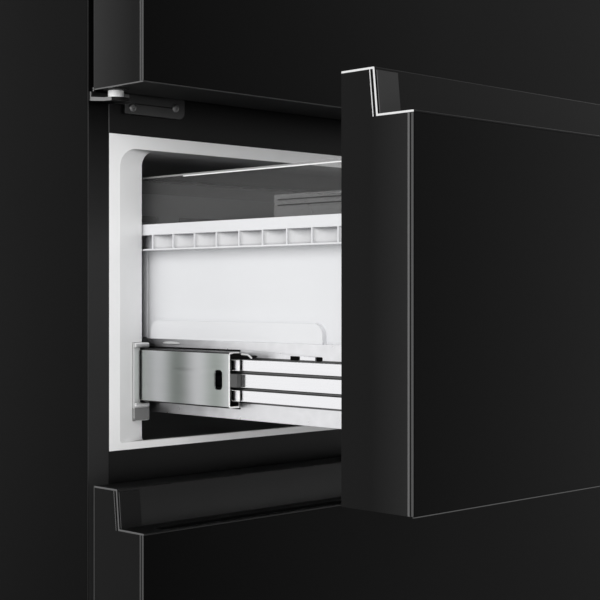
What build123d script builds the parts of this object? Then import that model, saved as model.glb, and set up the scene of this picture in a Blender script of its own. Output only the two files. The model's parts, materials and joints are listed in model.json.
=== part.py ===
from build123d import *
import os
from dataclasses import dataclass
from math import hypot

# All sizes are in millimetres. X runs across, +Y runs back from the front, +Z is up.
# "Inset" is a distance in from a cabinet side, "depth" a distance behind the cabinet's front plane.

# Cabinet
CABINET_WIDTH = 700.0
CABINET_DEPTH = 580.0
CABINET_BASE = 38.0
CABINET_TOP = 1872.0
SHELL_SHEET = 1.2
SHELL_EDGE_RADIUS = 1.5
SHELL_TOP_RADIUS = 3.0
SIDE_FLANGE = 20.5
TOP_FLANGE = 34.0
SKIN = 2.0
WALL_INSET = 60.0
THROAT_DEPTH = 8.5
LINER_FLANGE = 10.8
LINER_SILL = 5.7
THROAT_RADIUS = 16.0
POCKET_RADIUS = 13.0
SILL_RADIUS = 2.5
RECESS_RADIUS = 1.0

# Compartments
CEILING = 34.0
BACK_WALL = 75.0
FRIDGE_DEPTH = CABINET_DEPTH - BACK_WALL
FRIDGE_LOW = 748.0
FRIDGE_HIGH = CABINET_TOP - CEILING
MIDDLE_DEPTH = FRIDGE_DEPTH
MIDDLE_LOW = 435.4
MIDDLE_HIGH = 688.0
MACHINE_ROOM = 165.0
MACHINE_DEPTH = CABINET_DEPTH - MACHINE_ROOM
MACHINE_HIGH = 245.0
MACHINE_WALL = 45.0
LOWER_DEPTH = MACHINE_DEPTH - MACHINE_WALL
LOWER_LOW = 82.6
LOWER_HIGH = 395.7

# Doors and drawer fronts
DOOR_GAP = 8.4
DOOR_THICKNESS = 61.5
PANEL = 2.4
PANEL_EDGE_RADIUS = 0.6
GROOVE_WIDTH = 0.7
GROOVE_DEPTH = 3.0
EDGE_STRIP = 2.3
EDGE_STEP = 0.3
FRIDGE_DOOR_LOW = 720.0
DOOR_TOP_GAP = 4.0
FRIDGE_DOOR_HIGH = CABINET_TOP - DOOR_TOP_GAP
MIDDLE_FRONT_LOW = 423.0
MIDDLE_FRONT_HIGH = 703.7
LOWER_FRONT_LOW = 70.0
LOWER_FRONT_HIGH = 410.9
MIDDLE_DRAWER_OUT = 265.4
GASKET_WIDTH = 13.5
GASKET_INSET = 13.5
GASKET_RADIUS = 6.0
GASKET_CLEARANCE = 0.3
INNER_PANEL_MARGIN = 7.0
INNER_PANEL_RADIUS = 10.0

# Z-profile handle
HANDLE_RISE = 30.1
LIP_DEPTH = 28.7
RISER_SLANT = 3.0
HANDLE_SHEET = 1.5
HANDLE_SLIT = 1.5
HANDLE_EDGE_RADIUS = 0.8
GRIP_WIDTH = 14.0
GRIP_DROP = 15.0
GRIP_BEHIND_FACE = 4.5
CAP_WIDTH = 21.0
CAP_INSET = 1.0
CAP_PROUD = 1.2
CAP_BELOW_LIP = 2.1

# Telescopic slides
RAIL_RISE = 33.0
RAIL_HEIGHT = 52.4
RAIL_INSET = 47.7
RAIL_STEEL = 1.2
RAIL_FLANGE = 15.0
RAIL_LIP = 3.0
RAIL_LIP_BEND = 1.0
RAIL_START = 3.0
RAIL_BACK_GAP = 17.0
RAIL_END = LOWER_DEPTH - RAIL_BACK_GAP
RAIL_FOOT = 10.9
RAIL_FOOT_WIDTH = 16.0
RAIL_FOOT_LENGTH = 22.0
RAIL_FOOT_RADIUS = 2.5
SLIDE_INSET = 54.4
SLIDE_HEIGHT = 42.6
SLIDE_FLANGE = 11.6
SLIDE_BEND_RADIUS = 1.5
SLIDE_START = 28.5
SLIDE_END_GAP = 4.5
SLIDE_END = RAIL_END - SLIDE_END_GAP
SLOT_SETBACK = 7.5
SLOT_LENGTH = 9.0
SLOT_HEIGHT = 15.0
SLOT_RADIUS = 3.0
STOP_LENGTH = 16.0
STOP_REACH = 8.0
STOP_HEIGHT = 10.0
RUNNER_INSET = 61.0
RUNNER_HEIGHT = 31.8
RUNNER_BAND = 10.2
RUNNER_GROOVE = 2.3
RUNNER_GROOVE_DEPTH = 2.0
RUNNER_BAND_PROUD = 1.0
RUNNER_STEEL = 1.4
RUNNER_END_GAP = 13.0
RUNNER_LENGTH = RAIL_END - RUNNER_END_GAP
RUN_CLEARANCE = 0.3
BRACKET_INSET = 68.0
BRACKET_STEEL = 1.5
BRACKET_HEIGHT = 59.8
BRACKET_RISE = 28.6
BRACKET_SHELF = 11.0
BRACKET_END_GAP = 10.0
BRACKET_LENGTH = RUNNER_LENGTH - BRACKET_END_GAP
BRACKET_FOOT = 30.0
NOTCH_START = 75.2
NOTCH_LENGTH = 32.9
NOTCH_HEIGHT = 3.5

# Bins and trays
BIN_FRONT = 18.0
BIN_END_GAP = 23.0
BIN_LENGTH = BRACKET_LENGTH - BIN_END_GAP - BIN_FRONT
BIN_WALL = 2.0
BIN_RIM_INSET = 62.5
BIN_WALL_INSET = 74.0
BIN_FOOT_INSET = 82.0
BIN_BELOW_OPENING = 71.0
BIN_BAND = 8.7
BIN_CELL = 11.3
BIN_RIB = 1.2
BIN_RIB_PITCH = 26.1
BIN_RIB_END = 43.8
BIN_CORNER_RADIUS = 26.0
BIN_FLOOR_RISE = 28.0
BIN_PAD_HEIGHT = 14.8
BIN_PAD_FRONT = 58.7
BIN_PAD_BACK = 32.9
BIN_PAD_RADIUS = 9.0
TRAY_INSET = 76.5
TRAY_WALL = 2.4
TRAY_ABOVE_RIM = 40.5
TRAY_RADIUS = 13.0
TRAY_END_GAP = 4.0
TRAY_HANGER = 2.5
TRAY_HANGER_INSET = 67.0
TRAY_HANGER_MARGIN = 30.0

# Hinges
HINGE_INSET = 12.0
HINGE_AHEAD = 20.0
HINGE_STEEL = 3.0
HINGE_ARM_MARGIN = 1.0
HINGE_PIN_RADIUS = 5.0
HINGE_PIN_REACH = 20.0
HINGE_PIN_CHAMFER = 1.0
HINGE_BELOW_DOOR = 5.5
HINGE_PLATE_HEIGHT = 20.5
HINGE_PLATE_DROP = 7.0
HINGE_PLATE_START = 34.0
HINGE_PLATE_END = 96.0
HINGE_PLATE_RADIUS = 6.0
HINGE_COLLAR_RADIUS = 7.5
HINGE_BED_START = 10.0
HINGE_BED_END = 80.0
HINGE_BED_LENGTH = 60.0
BUSH_RADIUS = 8.0
BUSH_FLANGE = 1.2
BUSH_HEAD_RADIUS = 10.0
BUSH_ROOM = 2.0
PIN_CLEARANCE = 0.06
HINGE_COVER_HEIGHT = 20.0
HINGE_COVER_WIDTH = 92.0
HINGE_COVER_MARGIN = 14.0
HINGE_COVER_BEHIND = 74.0
HINGE_COVER_WALL = 2.0
HINGE_COVER_RADIUS = 10.0
HINGE_COVER_TOP_RADIUS = 4.0

# Feet, rollers and kick plate
FOOT_INSET = 62.0
FOOT_DEPTH = 58.0
FOOT_RADIUS = 20.0
FOOT_DISC = 10.0
FOOT_SIDES = 12
FOOT_CHAMFER = 1.5
STUD_RADIUS = 5.0
STUD_BELOW_PAN = 1.0
BOSS_RADIUS = 11.0
BOSS_HEIGHT = 16.0
ROLLER_RADIUS = 16.0
ROLLER_WIDTH = 22.0
ROLLER_SHOULDER = 2.0
ROLLER_EDGE = 1.5
ROLLER_FROM_BACK = 35.0
ROLLER_DEPTH = CABINET_DEPTH - ROLLER_FROM_BACK
AXLE_RADIUS = 4.0
EAR = 3.0
EAR_HALF_LENGTH = 10.0
EAR_BELOW_AXLE = 8.0
KICK_DEPTH = 24.0
KICK_SHEET = 2.5
KICK_LOW = 8.0
KICK_SIDE_GAP = 1.0
KICK_SLOT_LENGTH = 44.0
KICK_SLOT_HEIGHT = 4.0
KICK_SLOT_PITCH = 64.0
KICK_SLOTS = 7

# Machine compartment
COMPRESSOR_RADIUS = 66.0
COMPRESSOR_HEIGHT = 118.0
COMPRESSOR_INSET = 180.0
COMPRESSOR_LIFT = 16.0
COMPRESSOR_DOME_RADIUS = 30.0
COMPRESSOR_FOOT_RADIUS = 12.0
MOUNT_PLATE_LENGTH = 170.0
MOUNT_PLATE_WIDTH = 100.0
MOUNT_PLATE_RADIUS = 12.0
MOUNT_PLATE_SHEET = 4.0
GROMMET_RADIUS = 9.0
GROMMET_ACROSS = 72.0
GROMMET_BACK = 38.0
TERMINAL_DEPTH = 30.0
TERMINAL_WIDTH = 50.0
TERMINAL_HEIGHT = 56.0
TERMINAL_REACH = 8.0
TERMINAL_RISE = 60.0
DRIP_LENGTH = 190.0
DRIP_WIDTH = 120.0
DRIP_HEIGHT = 26.0
DRIP_RADIUS = 14.0
DRIP_WALL = 2.0
FAN_RADIUS = 58.0
FAN_HUB = 17.0
FAN_HUB_LENGTH = 20.0
FAN_BLADES = 5
FAN_BLADE_CHORD = 26.0
FAN_BLADE = 2.0
FAN_BLADE_PITCH = 32.0
FAN_X = -10.0
FAN_SHAFT_RADIUS = 3.0
FAN_SHAFT_LENGTH = 26.0
SHROUD_MARGIN = 12.0
SHROUD_HOLE_GAP = 5.0
SHROUD_SHEET = 3.0
SHROUD_BEHIND = 14.0
SPIDER_WIDTH = 8.0
FAN_MOTOR_LENGTH = 24.0
CONDENSER_INSET = 40.0
CONDENSER_FAN_GAP = 50.0
CONDENSER_DEPTH_GAP = 22.0
CONDENSER_BACK_GAP = 20.0
CONDENSER_HEIGHT = 128.0
CONDENSER_FIN = 1.5
CONDENSER_FIN_PITCH = 35.0
CONDENSER_ROWS = 3
CONDENSER_ROW_PITCH = 40.0
CONDENSER_ROW_START = 24.0
CONDENSER_TUBE_RADIUS = 4.0
COVER_SHEET = 2.0
COVER_SLOT_LENGTH = 50.0
COVER_SLOT_HEIGHT = 6.0
COVER_SLOT_LEVEL = 70.0
COVER_SLOT_INSET = 100.0
COVER_SLOT_COLUMNS = 4
COVER_SLOT_ROWS = 3
COVER_COLUMN_PITCH = 64.0
COVER_ROW_PITCH = 36.0
GLAND_RADIUS = 11.0
GLAND_INSET = 60.0
GLAND_LEVEL = 200.0

# Fridge interior and evaporator
SHELF_HEIGHTS = (1090.0, 1320.0, 1550.0)
SHELF_GLASS = 4.0
SHELF_FRONT = 120.0
SHELF_LEDGE = 6.0
SHELF_BACK_GAP = 26.0
TRIM_OVERLAP = 8.0
TRIM_AHEAD = 4.0
TRIM_ABOVE = 2.0
TRIM_BELOW = 5.0
CRISPER_HEIGHT = 185.0
CRISPER_FRONT = 130.0
CRISPER_BACK_GAP = 45.0
CRISPER_LENGTH = FRIDGE_DEPTH - CRISPER_FRONT - CRISPER_BACK_GAP
CRISPER_GAP = 8.0
CRISPER_WALL = 2.2
CRISPER_DRAFT = 16.0
CRISPER_RADIUS = 14.0
CRISPER_LIP_REACH = 14.0
CRISPER_LIP_DROP = 13.0
CRISPER_LIP = 3.0
CRISPER_LIP_RADIUS = 6.0
DUCT_HALF_WIDTH = 90.0
DUCT_DEPTH = 22.0
DUCT_LOW = 980.0
DUCT_TOP_GAP = 98.0
DUCT_HIGH = FRIDGE_HIGH - DUCT_TOP_GAP
DUCT_RADIUS = 8.0
OUTLET_HALF_WIDTH = 45.0
OUTLET_DEPTH = 12.0
OUTLET_HEIGHT = 8.0
OUTLET_ABOVE_SHELF = 90.0
LENS_HALF_WIDTH = 150.0
LENS_START = 60.0
LENS_LENGTH = 40.0
LENS_HEIGHT = 8.0
LENS_RADIUS = 3.0
BIN_HEIGHTS = (812.0, 1180.0, 1500.0)
DOOR_BIN_DEPTH = 78.0
DOOR_BIN_HEIGHT = 95.0
DOOR_BIN_RADIUS = 12.0
DOOR_BIN_WALL = 2.5
DOOR_SEAL_LOW = 11.7
DOOR_SEAL_HIGH = 12.0
DOOR_LINER_LOW = 8.0
DOOR_LINER_HIGH = 14.0
DOOR_LINER_BULGE = 16.0
DOOR_LINER_RADIUS = 18.0
DOOR_POCKET_RADIUS = 11.0
DOOR_LINER_CHAMFER = 3.0
DOOR_DYKE_INSET = 68.0
DOOR_DYKE_WIDTH = 34.0
EVAPORATOR_ROOM = 117.0
EVAPORATOR_COVER = 3.0
EVAPORATOR_COVER_GAP = 0.5
EVAPORATOR_SLOT_LENGTH = 70.0
EVAPORATOR_SLOT_HEIGHT = 8.0
EVAPORATOR_SLOT_DROP = 30.0
EVAPORATOR_SLOT_PITCH = 100.0
EVAPORATOR_SETBACK = 32.0
EVAPORATOR_DEPTH = 60.0
EVAPORATOR_HEIGHT = 170.0
EVAPORATOR_INSET = 130.0
EVAPORATOR_FIN = 1.5
EVAPORATOR_FIN_PITCH = 55.0
EVAPORATOR_TUBE_RADIUS = 5.0
EVAPORATOR_TUBE_REACH = 15.0
EVAPORATOR_ROWS = 3
EVAPORATOR_ROW_PITCH = 55.0
EVAPORATOR_ROW_START = 30.0
CUT_PAST = 1.0

HALF = CABINET_WIDTH / 2
DOOR_REACH = DOOR_GAP + DOOR_THICKNESS
FRONT = (DOOR_REACH + MIDDLE_DRAWER_OUT - CABINET_DEPTH) / 2


@dataclass(frozen=True)
class Drawer:
    """One freezer drawer: the levels of its front and of the opening that it closes."""

    name: str
    front_low: float
    front_high: float
    opening_low: float
    opening_high: float
    out: float

    @property
    def face_high(self):
        return self.front_high - HANDLE_RISE

    @property
    def rail_low(self):
        return self.opening_low + RAIL_RISE

    @property
    def rail_middle(self):
        return self.rail_low + RAIL_HEIGHT / 2

    @property
    def shelf_level(self):
        return self.opening_low + BRACKET_RISE + BRACKET_HEIGHT

    @property
    def rim_high(self):
        return self.opening_high - BIN_BELOW_OPENING


DRAWERS = (
    Drawer("middle", MIDDLE_FRONT_LOW, MIDDLE_FRONT_HIGH, MIDDLE_LOW, MIDDLE_HIGH, MIDDLE_DRAWER_OUT),
    Drawer("lower", LOWER_FRONT_LOW, LOWER_FRONT_HIGH, LOWER_LOW, LOWER_HIGH, 0.0),
)


def slab(x, depth, z):
    """A plain block from its span across, its span behind the front plane and its span in height."""
    low = (x[0], FRONT + depth[0], z[0])
    high = (x[1], FRONT + depth[1], z[1])
    size = [b - a for a, b in zip(low, high)]
    centre = [(a + b) / 2 for a, b in zip(low, high)]
    return Pos(*centre) * Box(*size)


def across(half_width):
    """The span from one side to the other of something centred on the cabinet."""
    return (-half_width, half_width)


def left_of(inset_low, inset_high):
    """The span across of something at the left, from its insets."""
    return (inset_low - HALF, inset_high - HALF)


def both_sides(left):
    """A piece at the left and its mirror image at the right."""
    return left + left.mirror(Plane.YZ)


def run_back(outline, start, end):
    """A bar with a section given as (x, z) points, from one depth to another."""
    plane = Plane.XZ.offset(-(FRONT + end))
    return extrude(plane * make_face(Polyline(*outline, close=True)), end - start)


def run_across(outline, x_low, x_high):
    """A bar with a section given as (depth, z) points, from one x to another."""
    points = [(FRONT + depth, z) for depth, z in outline]
    plane = Plane.YZ.offset(x_low)
    return extrude(plane * make_face(Polyline(*points, close=True)), x_high - x_low)


def upright(width, height, radius, depth, centre_z, thickness):
    """A rounded plate that stands across the cabinet, from one depth backwards."""
    return stand(RectangleRounded(width, height, radius), depth, centre_z, thickness)


def stand(outline, depth, centre_z, thickness):
    """A plate of any outline that stands across the cabinet, from one depth backwards."""
    plane = Plane.XZ.offset(-(FRONT + depth + thickness))
    return extrude(plane * Pos(0, centre_z) * outline, thickness)


def arch(width, height, radius):
    """A rectangle with well rounded upper corners and nearly sharp lower ones."""
    outline = Rectangle(width, height)
    rows = outline.vertices().group_by(Axis.Y)
    outline = fillet(rows[-1], radius)
    rows = outline.vertices().group_by(Axis.Y)
    return fillet(rows[0], SILL_RADIUS)


def round_edges(part, axis, radius, keep=lambda edge: True):
    """The part with the straight edges along one axis rounded where keep allows it."""
    chosen = [edge for edge in part.edges().filter_by(axis) if keep(edge)]
    return fillet(chosen, radius)


def round_corner(part, depth, level, radius):
    """The part with the one edge across the cabinet rounded that lies at a depth and a level."""

    def distance(edge):
        return hypot(edge.center().Y - FRONT - depth, edge.center().Z - level)

    return fillet(min(part.edges().filter_by(Axis.X), key=distance), radius)


def pocket_form(low, high, depth, grow):
    """The hollow of one compartment: a slanting throat and the pocket behind it."""
    throat_low = low + LINER_SILL - grow
    throat_high = high - LINER_FLANGE + grow
    middle = (throat_low + throat_high) / 2
    mouth_width = CABINET_WIDTH - 2 * (SIDE_FLANGE + LINER_FLANGE) + 2 * grow
    pocket_width = CABINET_WIDTH - 2 * WALL_INSET + 2 * grow
    height = throat_high - throat_low
    mouth_plane = Plane.XZ.offset(-FRONT)
    pocket_plane = Plane.XZ.offset(-(FRONT + THROAT_DEPTH))
    mouth = mouth_plane * Pos(0, middle) * arch(mouth_width, height, THROAT_RADIUS)
    inner = pocket_plane * Pos(0, middle) * arch(pocket_width, height, POCKET_RADIUS)
    throat = loft([mouth, inner])
    outline = arch(pocket_width, height, POCKET_RADIUS)
    return throat + stand(outline, THROAT_DEPTH, middle, depth + grow - THROAT_DEPTH)


def rail_recess(drawer, grow):
    """The long recess in each side wall that holds the fixed rail and its foot."""
    low = drawer.rail_low - RAIL_FOOT - RUN_CLEARANCE - grow
    high = drawer.rail_low + RAIL_HEIGHT + RUN_CLEARANCE + grow
    inset = RAIL_INSET - RUN_CLEARANCE - grow
    end = RAIL_END + RUN_CLEARANCE + grow
    block = slab(left_of(inset, WALL_INSET + SKIN), (RAIL_START - SKIN, end), (low, high))
    outer = inset - HALF + CUT_PAST
    block = round_edges(block, Axis.Y, RECESS_RADIUS + grow, lambda edge: edge.center().X < outer)
    return both_sides(block)


def shelf_ledges():
    """The moulded ledges on the fridge walls that carry the glass shelves."""
    ledges = []
    for level in SHELF_HEIGHTS:
        outline = [
            (WALL_INSET - HALF, level),
            (WALL_INSET + SHELF_LEDGE - HALF, level),
            (WALL_INSET + SHELF_LEDGE - HALF, level - SHELF_LEDGE),
            (WALL_INSET - HALF, level - 2 * SHELF_LEDGE),
        ]
        ledges.append(run_back(outline, SHELF_FRONT, FRIDGE_DEPTH))
    return [both_sides(ledge) for ledge in ledges]


def liner(low, high, depth, drawer=None):
    """A moulded compartment liner: its flange, slanting throat, walls and any rail recesses."""
    outer = pocket_form(low, high, depth, SKIN)
    inner = pocket_form(low, high, depth, 0)
    if drawer:
        outer += rail_recess(drawer, SKIN)
        inner += rail_recess(drawer, 0)
    flange = slab(across(HALF - SIDE_FLANGE), (0, SKIN), (low, high))
    return flange + outer - inner


def liner_space(low, high, depth, drawer=None):
    """What a liner takes out of the foam, flange not counted."""
    space = pocket_form(low, high, depth, SKIN)
    if drawer:
        space += rail_recess(drawer, SKIN)
    return space


def outer_shell():
    """The folded steel wrapper: two sides and a top in one sheet, with returns round the front."""
    top = CABINET_TOP
    outside = slab(across(HALF), (0, CABINET_DEPTH), (CABINET_BASE, top))
    outside = round_edges(outside, Axis.Y, SHELL_TOP_RADIUS, lambda edge: edge.center().Z > top - CUT_PAST)
    outside = round_edges(outside, Axis.Z, SHELL_EDGE_RADIUS, lambda edge: edge.center().Y < FRONT + CUT_PAST)
    within = slab(
        across(HALF - SHELL_SHEET),
        (SHELL_SHEET, CABINET_DEPTH + CUT_PAST),
        (CABINET_BASE - CUT_PAST, top - SHELL_SHEET),
    )
    window = slab(
        across(HALF - SIDE_FLANGE),
        (-CUT_PAST, SHELL_SHEET + CUT_PAST),
        (CABINET_BASE - CUT_PAST, top - TOP_FLANGE),
    )
    return outside - within - window


def back_panel():
    """The flat sheet that closes the back above the machine compartment."""
    return slab(
        across(HALF - SHELL_SHEET),
        (CABINET_DEPTH - SHELL_SHEET, CABINET_DEPTH),
        (MACHINE_HIGH, CABINET_TOP - SHELL_SHEET),
    )


def foot_centre():
    """The x and y of the middle of a levelling foot."""
    return (left_of(FOOT_INSET, FOOT_INSET)[0], FRONT + FOOT_DEPTH)


def roller_x():
    """The x of the middle of a rear roller."""
    return left_of(FOOT_INSET, FOOT_INSET)[0]


def base_pan():
    """The steel base with its foot bosses, roller ears and roller axles."""
    half = HALF - SHELL_SHEET
    pan = slab(across(half), (SKIN, CABINET_DEPTH), (CABINET_BASE, CABINET_BASE + SHELL_SHEET))
    x, y = foot_centre()
    boss = Pos(x, y, CABINET_BASE - BOSS_HEIGHT / 2) * Cylinder(BOSS_RADIUS, BOSS_HEIGHT)
    bore = Pos(x, y, CABINET_BASE - BOSS_HEIGHT / 2) * Cylinder(STUD_RADIUS + PIN_CLEARANCE, 2 * BOSS_HEIGHT)
    ears = Part() + [roller_ear(side) for side in (-1, 1)]
    axle = Pos(roller_x(), FRONT + ROLLER_DEPTH, ROLLER_RADIUS) * (
        Rot(0, 90, 0) * Cylinder(AXLE_RADIUS, ROLLER_WIDTH + 4 * EAR)
    )
    return pan + both_sides(boss) + both_sides(ears) + both_sides(axle) - both_sides(bore)


def roller_ear(side):
    """One of the two ears that hold a roller's axle."""
    x = roller_x() + side * (ROLLER_WIDTH / 2 + EAR)
    span = (ROLLER_DEPTH - EAR_HALF_LENGTH, ROLLER_DEPTH + EAR_HALF_LENGTH)
    return slab((x - EAR / 2, x + EAR / 2), span, (ROLLER_RADIUS - EAR_BELOW_AXLE, CABINET_BASE))


def foam():
    """The foam that fills the cabinet walls, round the liners and over the machine compartment."""
    gap = SHELL_SHEET
    block = slab(
        across(HALF - gap), (SKIN, CABINET_DEPTH - gap), (CABINET_BASE + gap, CABINET_TOP - gap)
    )
    machine = slab(
        across(HALF), (MACHINE_DEPTH, CABINET_DEPTH), (CABINET_BASE, MACHINE_HIGH)
    )
    middle, lower = DRAWERS
    block -= machine
    block -= liner_space(FRIDGE_LOW, FRIDGE_HIGH, FRIDGE_DEPTH)
    block -= liner_space(MIDDLE_LOW, MIDDLE_HIGH, MIDDLE_DEPTH, middle)
    block -= liner_space(LOWER_LOW, LOWER_HIGH, LOWER_DEPTH, lower)
    return block


def crossbars():
    """The black metal rails across the front, between and below the compartments."""
    spans = (
        (MIDDLE_HIGH, FRIDGE_LOW),
        (LOWER_HIGH, MIDDLE_LOW),
        (CABINET_BASE + SHELL_SHEET, LOWER_LOW),
    )
    return [slab(across(HALF - SIDE_FLANGE), (0, SKIN), span) for span in spans]


def kick_plate():
    """The slotted plinth plate below the lower drawer."""
    plate = slab(
        across(HALF - SHELL_SHEET - KICK_SIDE_GAP),
        (KICK_DEPTH, KICK_DEPTH + KICK_SHEET),
        (KICK_LOW, CABINET_BASE),
    )
    middle = (KICK_LOW + CABINET_BASE) / 2
    outline = SlotOverall(KICK_SLOT_LENGTH, KICK_SLOT_HEIGHT)
    slot = stand(outline, KICK_DEPTH - CUT_PAST, middle, KICK_SHEET + 2 * CUT_PAST)
    first = -(KICK_SLOTS - 1) / 2 * KICK_SLOT_PITCH
    return plate - [Pos(first + step * KICK_SLOT_PITCH, 0, 0) * slot for step in range(KICK_SLOTS)]


def hinge_plane_x():
    """The x of the axis of the two hinge pins."""
    return HINGE_INSET - HALF


def hinge_arm(z_low, margin):
    """The flat arm of a hinge, rounded about the pin and running back to the cabinet."""
    x, y = hinge_plane_x(), FRONT - HINGE_AHEAD
    nose = Pos(x, y, z_low + HINGE_STEEL / 2) * Cylinder(HINGE_INSET - margin, HINGE_STEEL)
    arm = slab(
        left_of(margin, 2 * HINGE_INSET - margin), (-HINGE_AHEAD, 0), (z_low, z_low + HINGE_STEEL)
    )
    return nose + arm


def middle_hinge():
    """The bracket between the fridge door and the middle drawer, with its pin, collar and plate."""
    low = FRIDGE_DOOR_LOW - HINGE_BELOW_DOOR - HINGE_STEEL
    x, y = hinge_plane_x(), FRONT - HINGE_AHEAD
    seat = FRIDGE_DOOR_LOW - BUSH_FLANGE - RUN_CLEARANCE
    collar_height = seat - low
    collar = Pos(x, y, low + collar_height / 2) * Cylinder(HINGE_COLLAR_RADIUS, collar_height)
    pin_height = FRIDGE_DOOR_LOW + HINGE_PIN_REACH - low
    pin = Pos(x, y, low + pin_height / 2) * Cylinder(HINGE_PIN_RADIUS, pin_height)
    pin = chamfer(pin.edges().group_by(Axis.Z)[-1], HINGE_PIN_CHAMFER)
    plate_low = low - HINGE_PLATE_DROP
    plate_high = plate_low + HINGE_PLATE_HEIGHT
    plate = slab(left_of(HINGE_ARM_MARGIN, HINGE_PLATE_END), (-HINGE_STEEL, 0), (plate_low, plate_high))
    past = (-HINGE_STEEL - CUT_PAST, CUT_PAST)
    web = slab(left_of(0, HINGE_PLATE_START), past, (plate_low - CUT_PAST, low))
    swing = HINGE_INSET + hypot(HINGE_INSET, HINGE_AHEAD)
    notch = slab(left_of(0, swing), past, (FRIDGE_DOOR_LOW - BUSH_FLANGE, plate_high + CUT_PAST))
    plate = plate - web - notch
    end = left_of(HINGE_PLATE_END, HINGE_PLATE_END)[0]
    plate = round_edges(plate, Axis.Y, HINGE_PLATE_RADIUS, lambda edge: edge.center().X > end - CUT_PAST)
    return hinge_arm(low, HINGE_ARM_MARGIN) + collar + pin + plate


def top_hinge():
    """The bracket on the cabinet's top, with the pin that reaches down into the door."""
    x, y = hinge_plane_x(), FRONT - HINGE_AHEAD
    low = CABINET_TOP
    bed = slab(left_of(HINGE_BED_START, HINGE_BED_END), (0, HINGE_BED_LENGTH), (low, low + HINGE_STEEL))
    pin_low = FRIDGE_DOOR_HIGH - HINGE_PIN_REACH
    pin_height = low + HINGE_STEEL - pin_low
    pin = Pos(x, y, pin_low + pin_height / 2) * Cylinder(HINGE_PIN_RADIUS, pin_height)
    pin = chamfer(pin.edges().group_by(Axis.Z)[0], HINGE_PIN_CHAMFER)
    return hinge_arm(low, HINGE_COVER_WALL + HINGE_ARM_MARGIN) + bed + pin


def hinge_cover():
    """The moulded cap over the top hinge."""
    wall = HINGE_COVER_WALL
    top = CABINET_TOP + HINGE_COVER_HEIGHT
    front = -HINGE_AHEAD - HINGE_COVER_MARGIN
    shape = slab(left_of(0, HINGE_COVER_WIDTH), (front, HINGE_COVER_BEHIND), (CABINET_TOP, top))
    shape = round_edges(shape, Axis.Z, HINGE_COVER_RADIUS)
    shape = fillet(shape.faces().sort_by(Axis.Z)[-1].edges(), HINGE_COVER_TOP_RADIUS)
    hollow = slab(
        left_of(wall, HINGE_COVER_WIDTH - wall),
        (front + wall, HINGE_COVER_BEHIND - wall),
        (CABINET_TOP - CUT_PAST, top - wall),
    )
    return shape - round_edges(hollow, Axis.Z, HINGE_COVER_RADIUS - wall)


def levelling_foot():
    """A levelling foot: a many-sided disc and its stud."""
    x, y = foot_centre()
    disc = Pos(x, y, 0) * extrude(RegularPolygon(FOOT_RADIUS, FOOT_SIDES), FOOT_DISC)
    disc = chamfer(disc.faces().sort_by(Axis.Z)[0].edges(), FOOT_CHAMFER)
    stud_top = CABINET_BASE - STUD_BELOW_PAN
    stud = Pos(x, y, stud_top / 2) * Cylinder(STUD_RADIUS, stud_top)
    return disc + stud


def roller():
    """A rear roller, bored for its axle."""
    bore = AXLE_RADIUS + PIN_CLEARANCE
    half = ROLLER_WIDTH / 2 - RUN_CLEARANCE
    shoulder = ROLLER_WIDTH / 2 - ROLLER_SHOULDER
    section = [
        (bore, -half),
        (ROLLER_RADIUS - ROLLER_EDGE, -half),
        (ROLLER_RADIUS, -shoulder),
        (ROLLER_RADIUS, shoulder),
        (ROLLER_RADIUS - ROLLER_EDGE, half),
        (bore, half),
    ]
    wheel = revolve(Plane.XZ * make_face(Polyline(*section, close=True)), Axis.Z)
    return Pos(roller_x(), FRONT + ROLLER_DEPTH, ROLLER_RADIUS) * (Rot(0, 90, 0) * wheel)


def machine_middle():
    """The y of the middle of the machine compartment."""
    return FRONT + (MACHINE_DEPTH + CABINET_DEPTH) / 2


def compressor():
    """The hermetic compressor: a domed pot on four rubber feet, with its terminal box."""
    x, y = HALF - COMPRESSOR_INSET, machine_middle()
    floor = CABINET_BASE + SHELL_SHEET
    seat = floor + COMPRESSOR_LIFT
    pot = Pos(x, y, seat + COMPRESSOR_HEIGHT / 2) * Cylinder(COMPRESSOR_RADIUS, COMPRESSOR_HEIGHT)
    pot = fillet(pot.edges().group_by(Axis.Z)[-1], COMPRESSOR_DOME_RADIUS)
    pot = fillet(pot.edges().group_by(Axis.Z)[0], COMPRESSOR_FOOT_RADIUS)
    outline = RectangleRounded(MOUNT_PLATE_LENGTH, MOUNT_PLATE_WIDTH, MOUNT_PLATE_RADIUS)
    plate = Pos(x, y, seat) * extrude(outline, MOUNT_PLATE_SHEET)
    feet = [
        Pos(x + sx * GROMMET_ACROSS, y + sy * GROMMET_BACK, floor + COMPRESSOR_LIFT / 2)
        * Cylinder(GROMMET_RADIUS, COMPRESSOR_LIFT)
        for sx in (-1, 1)
        for sy in (-1, 1)
    ]
    place = Pos(x + COMPRESSOR_RADIUS + TERMINAL_REACH, y, seat + TERMINAL_RISE)
    box = place * Box(TERMINAL_DEPTH, TERMINAL_WIDTH, TERMINAL_HEIGHT)
    return pot + plate + feet + box


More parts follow.
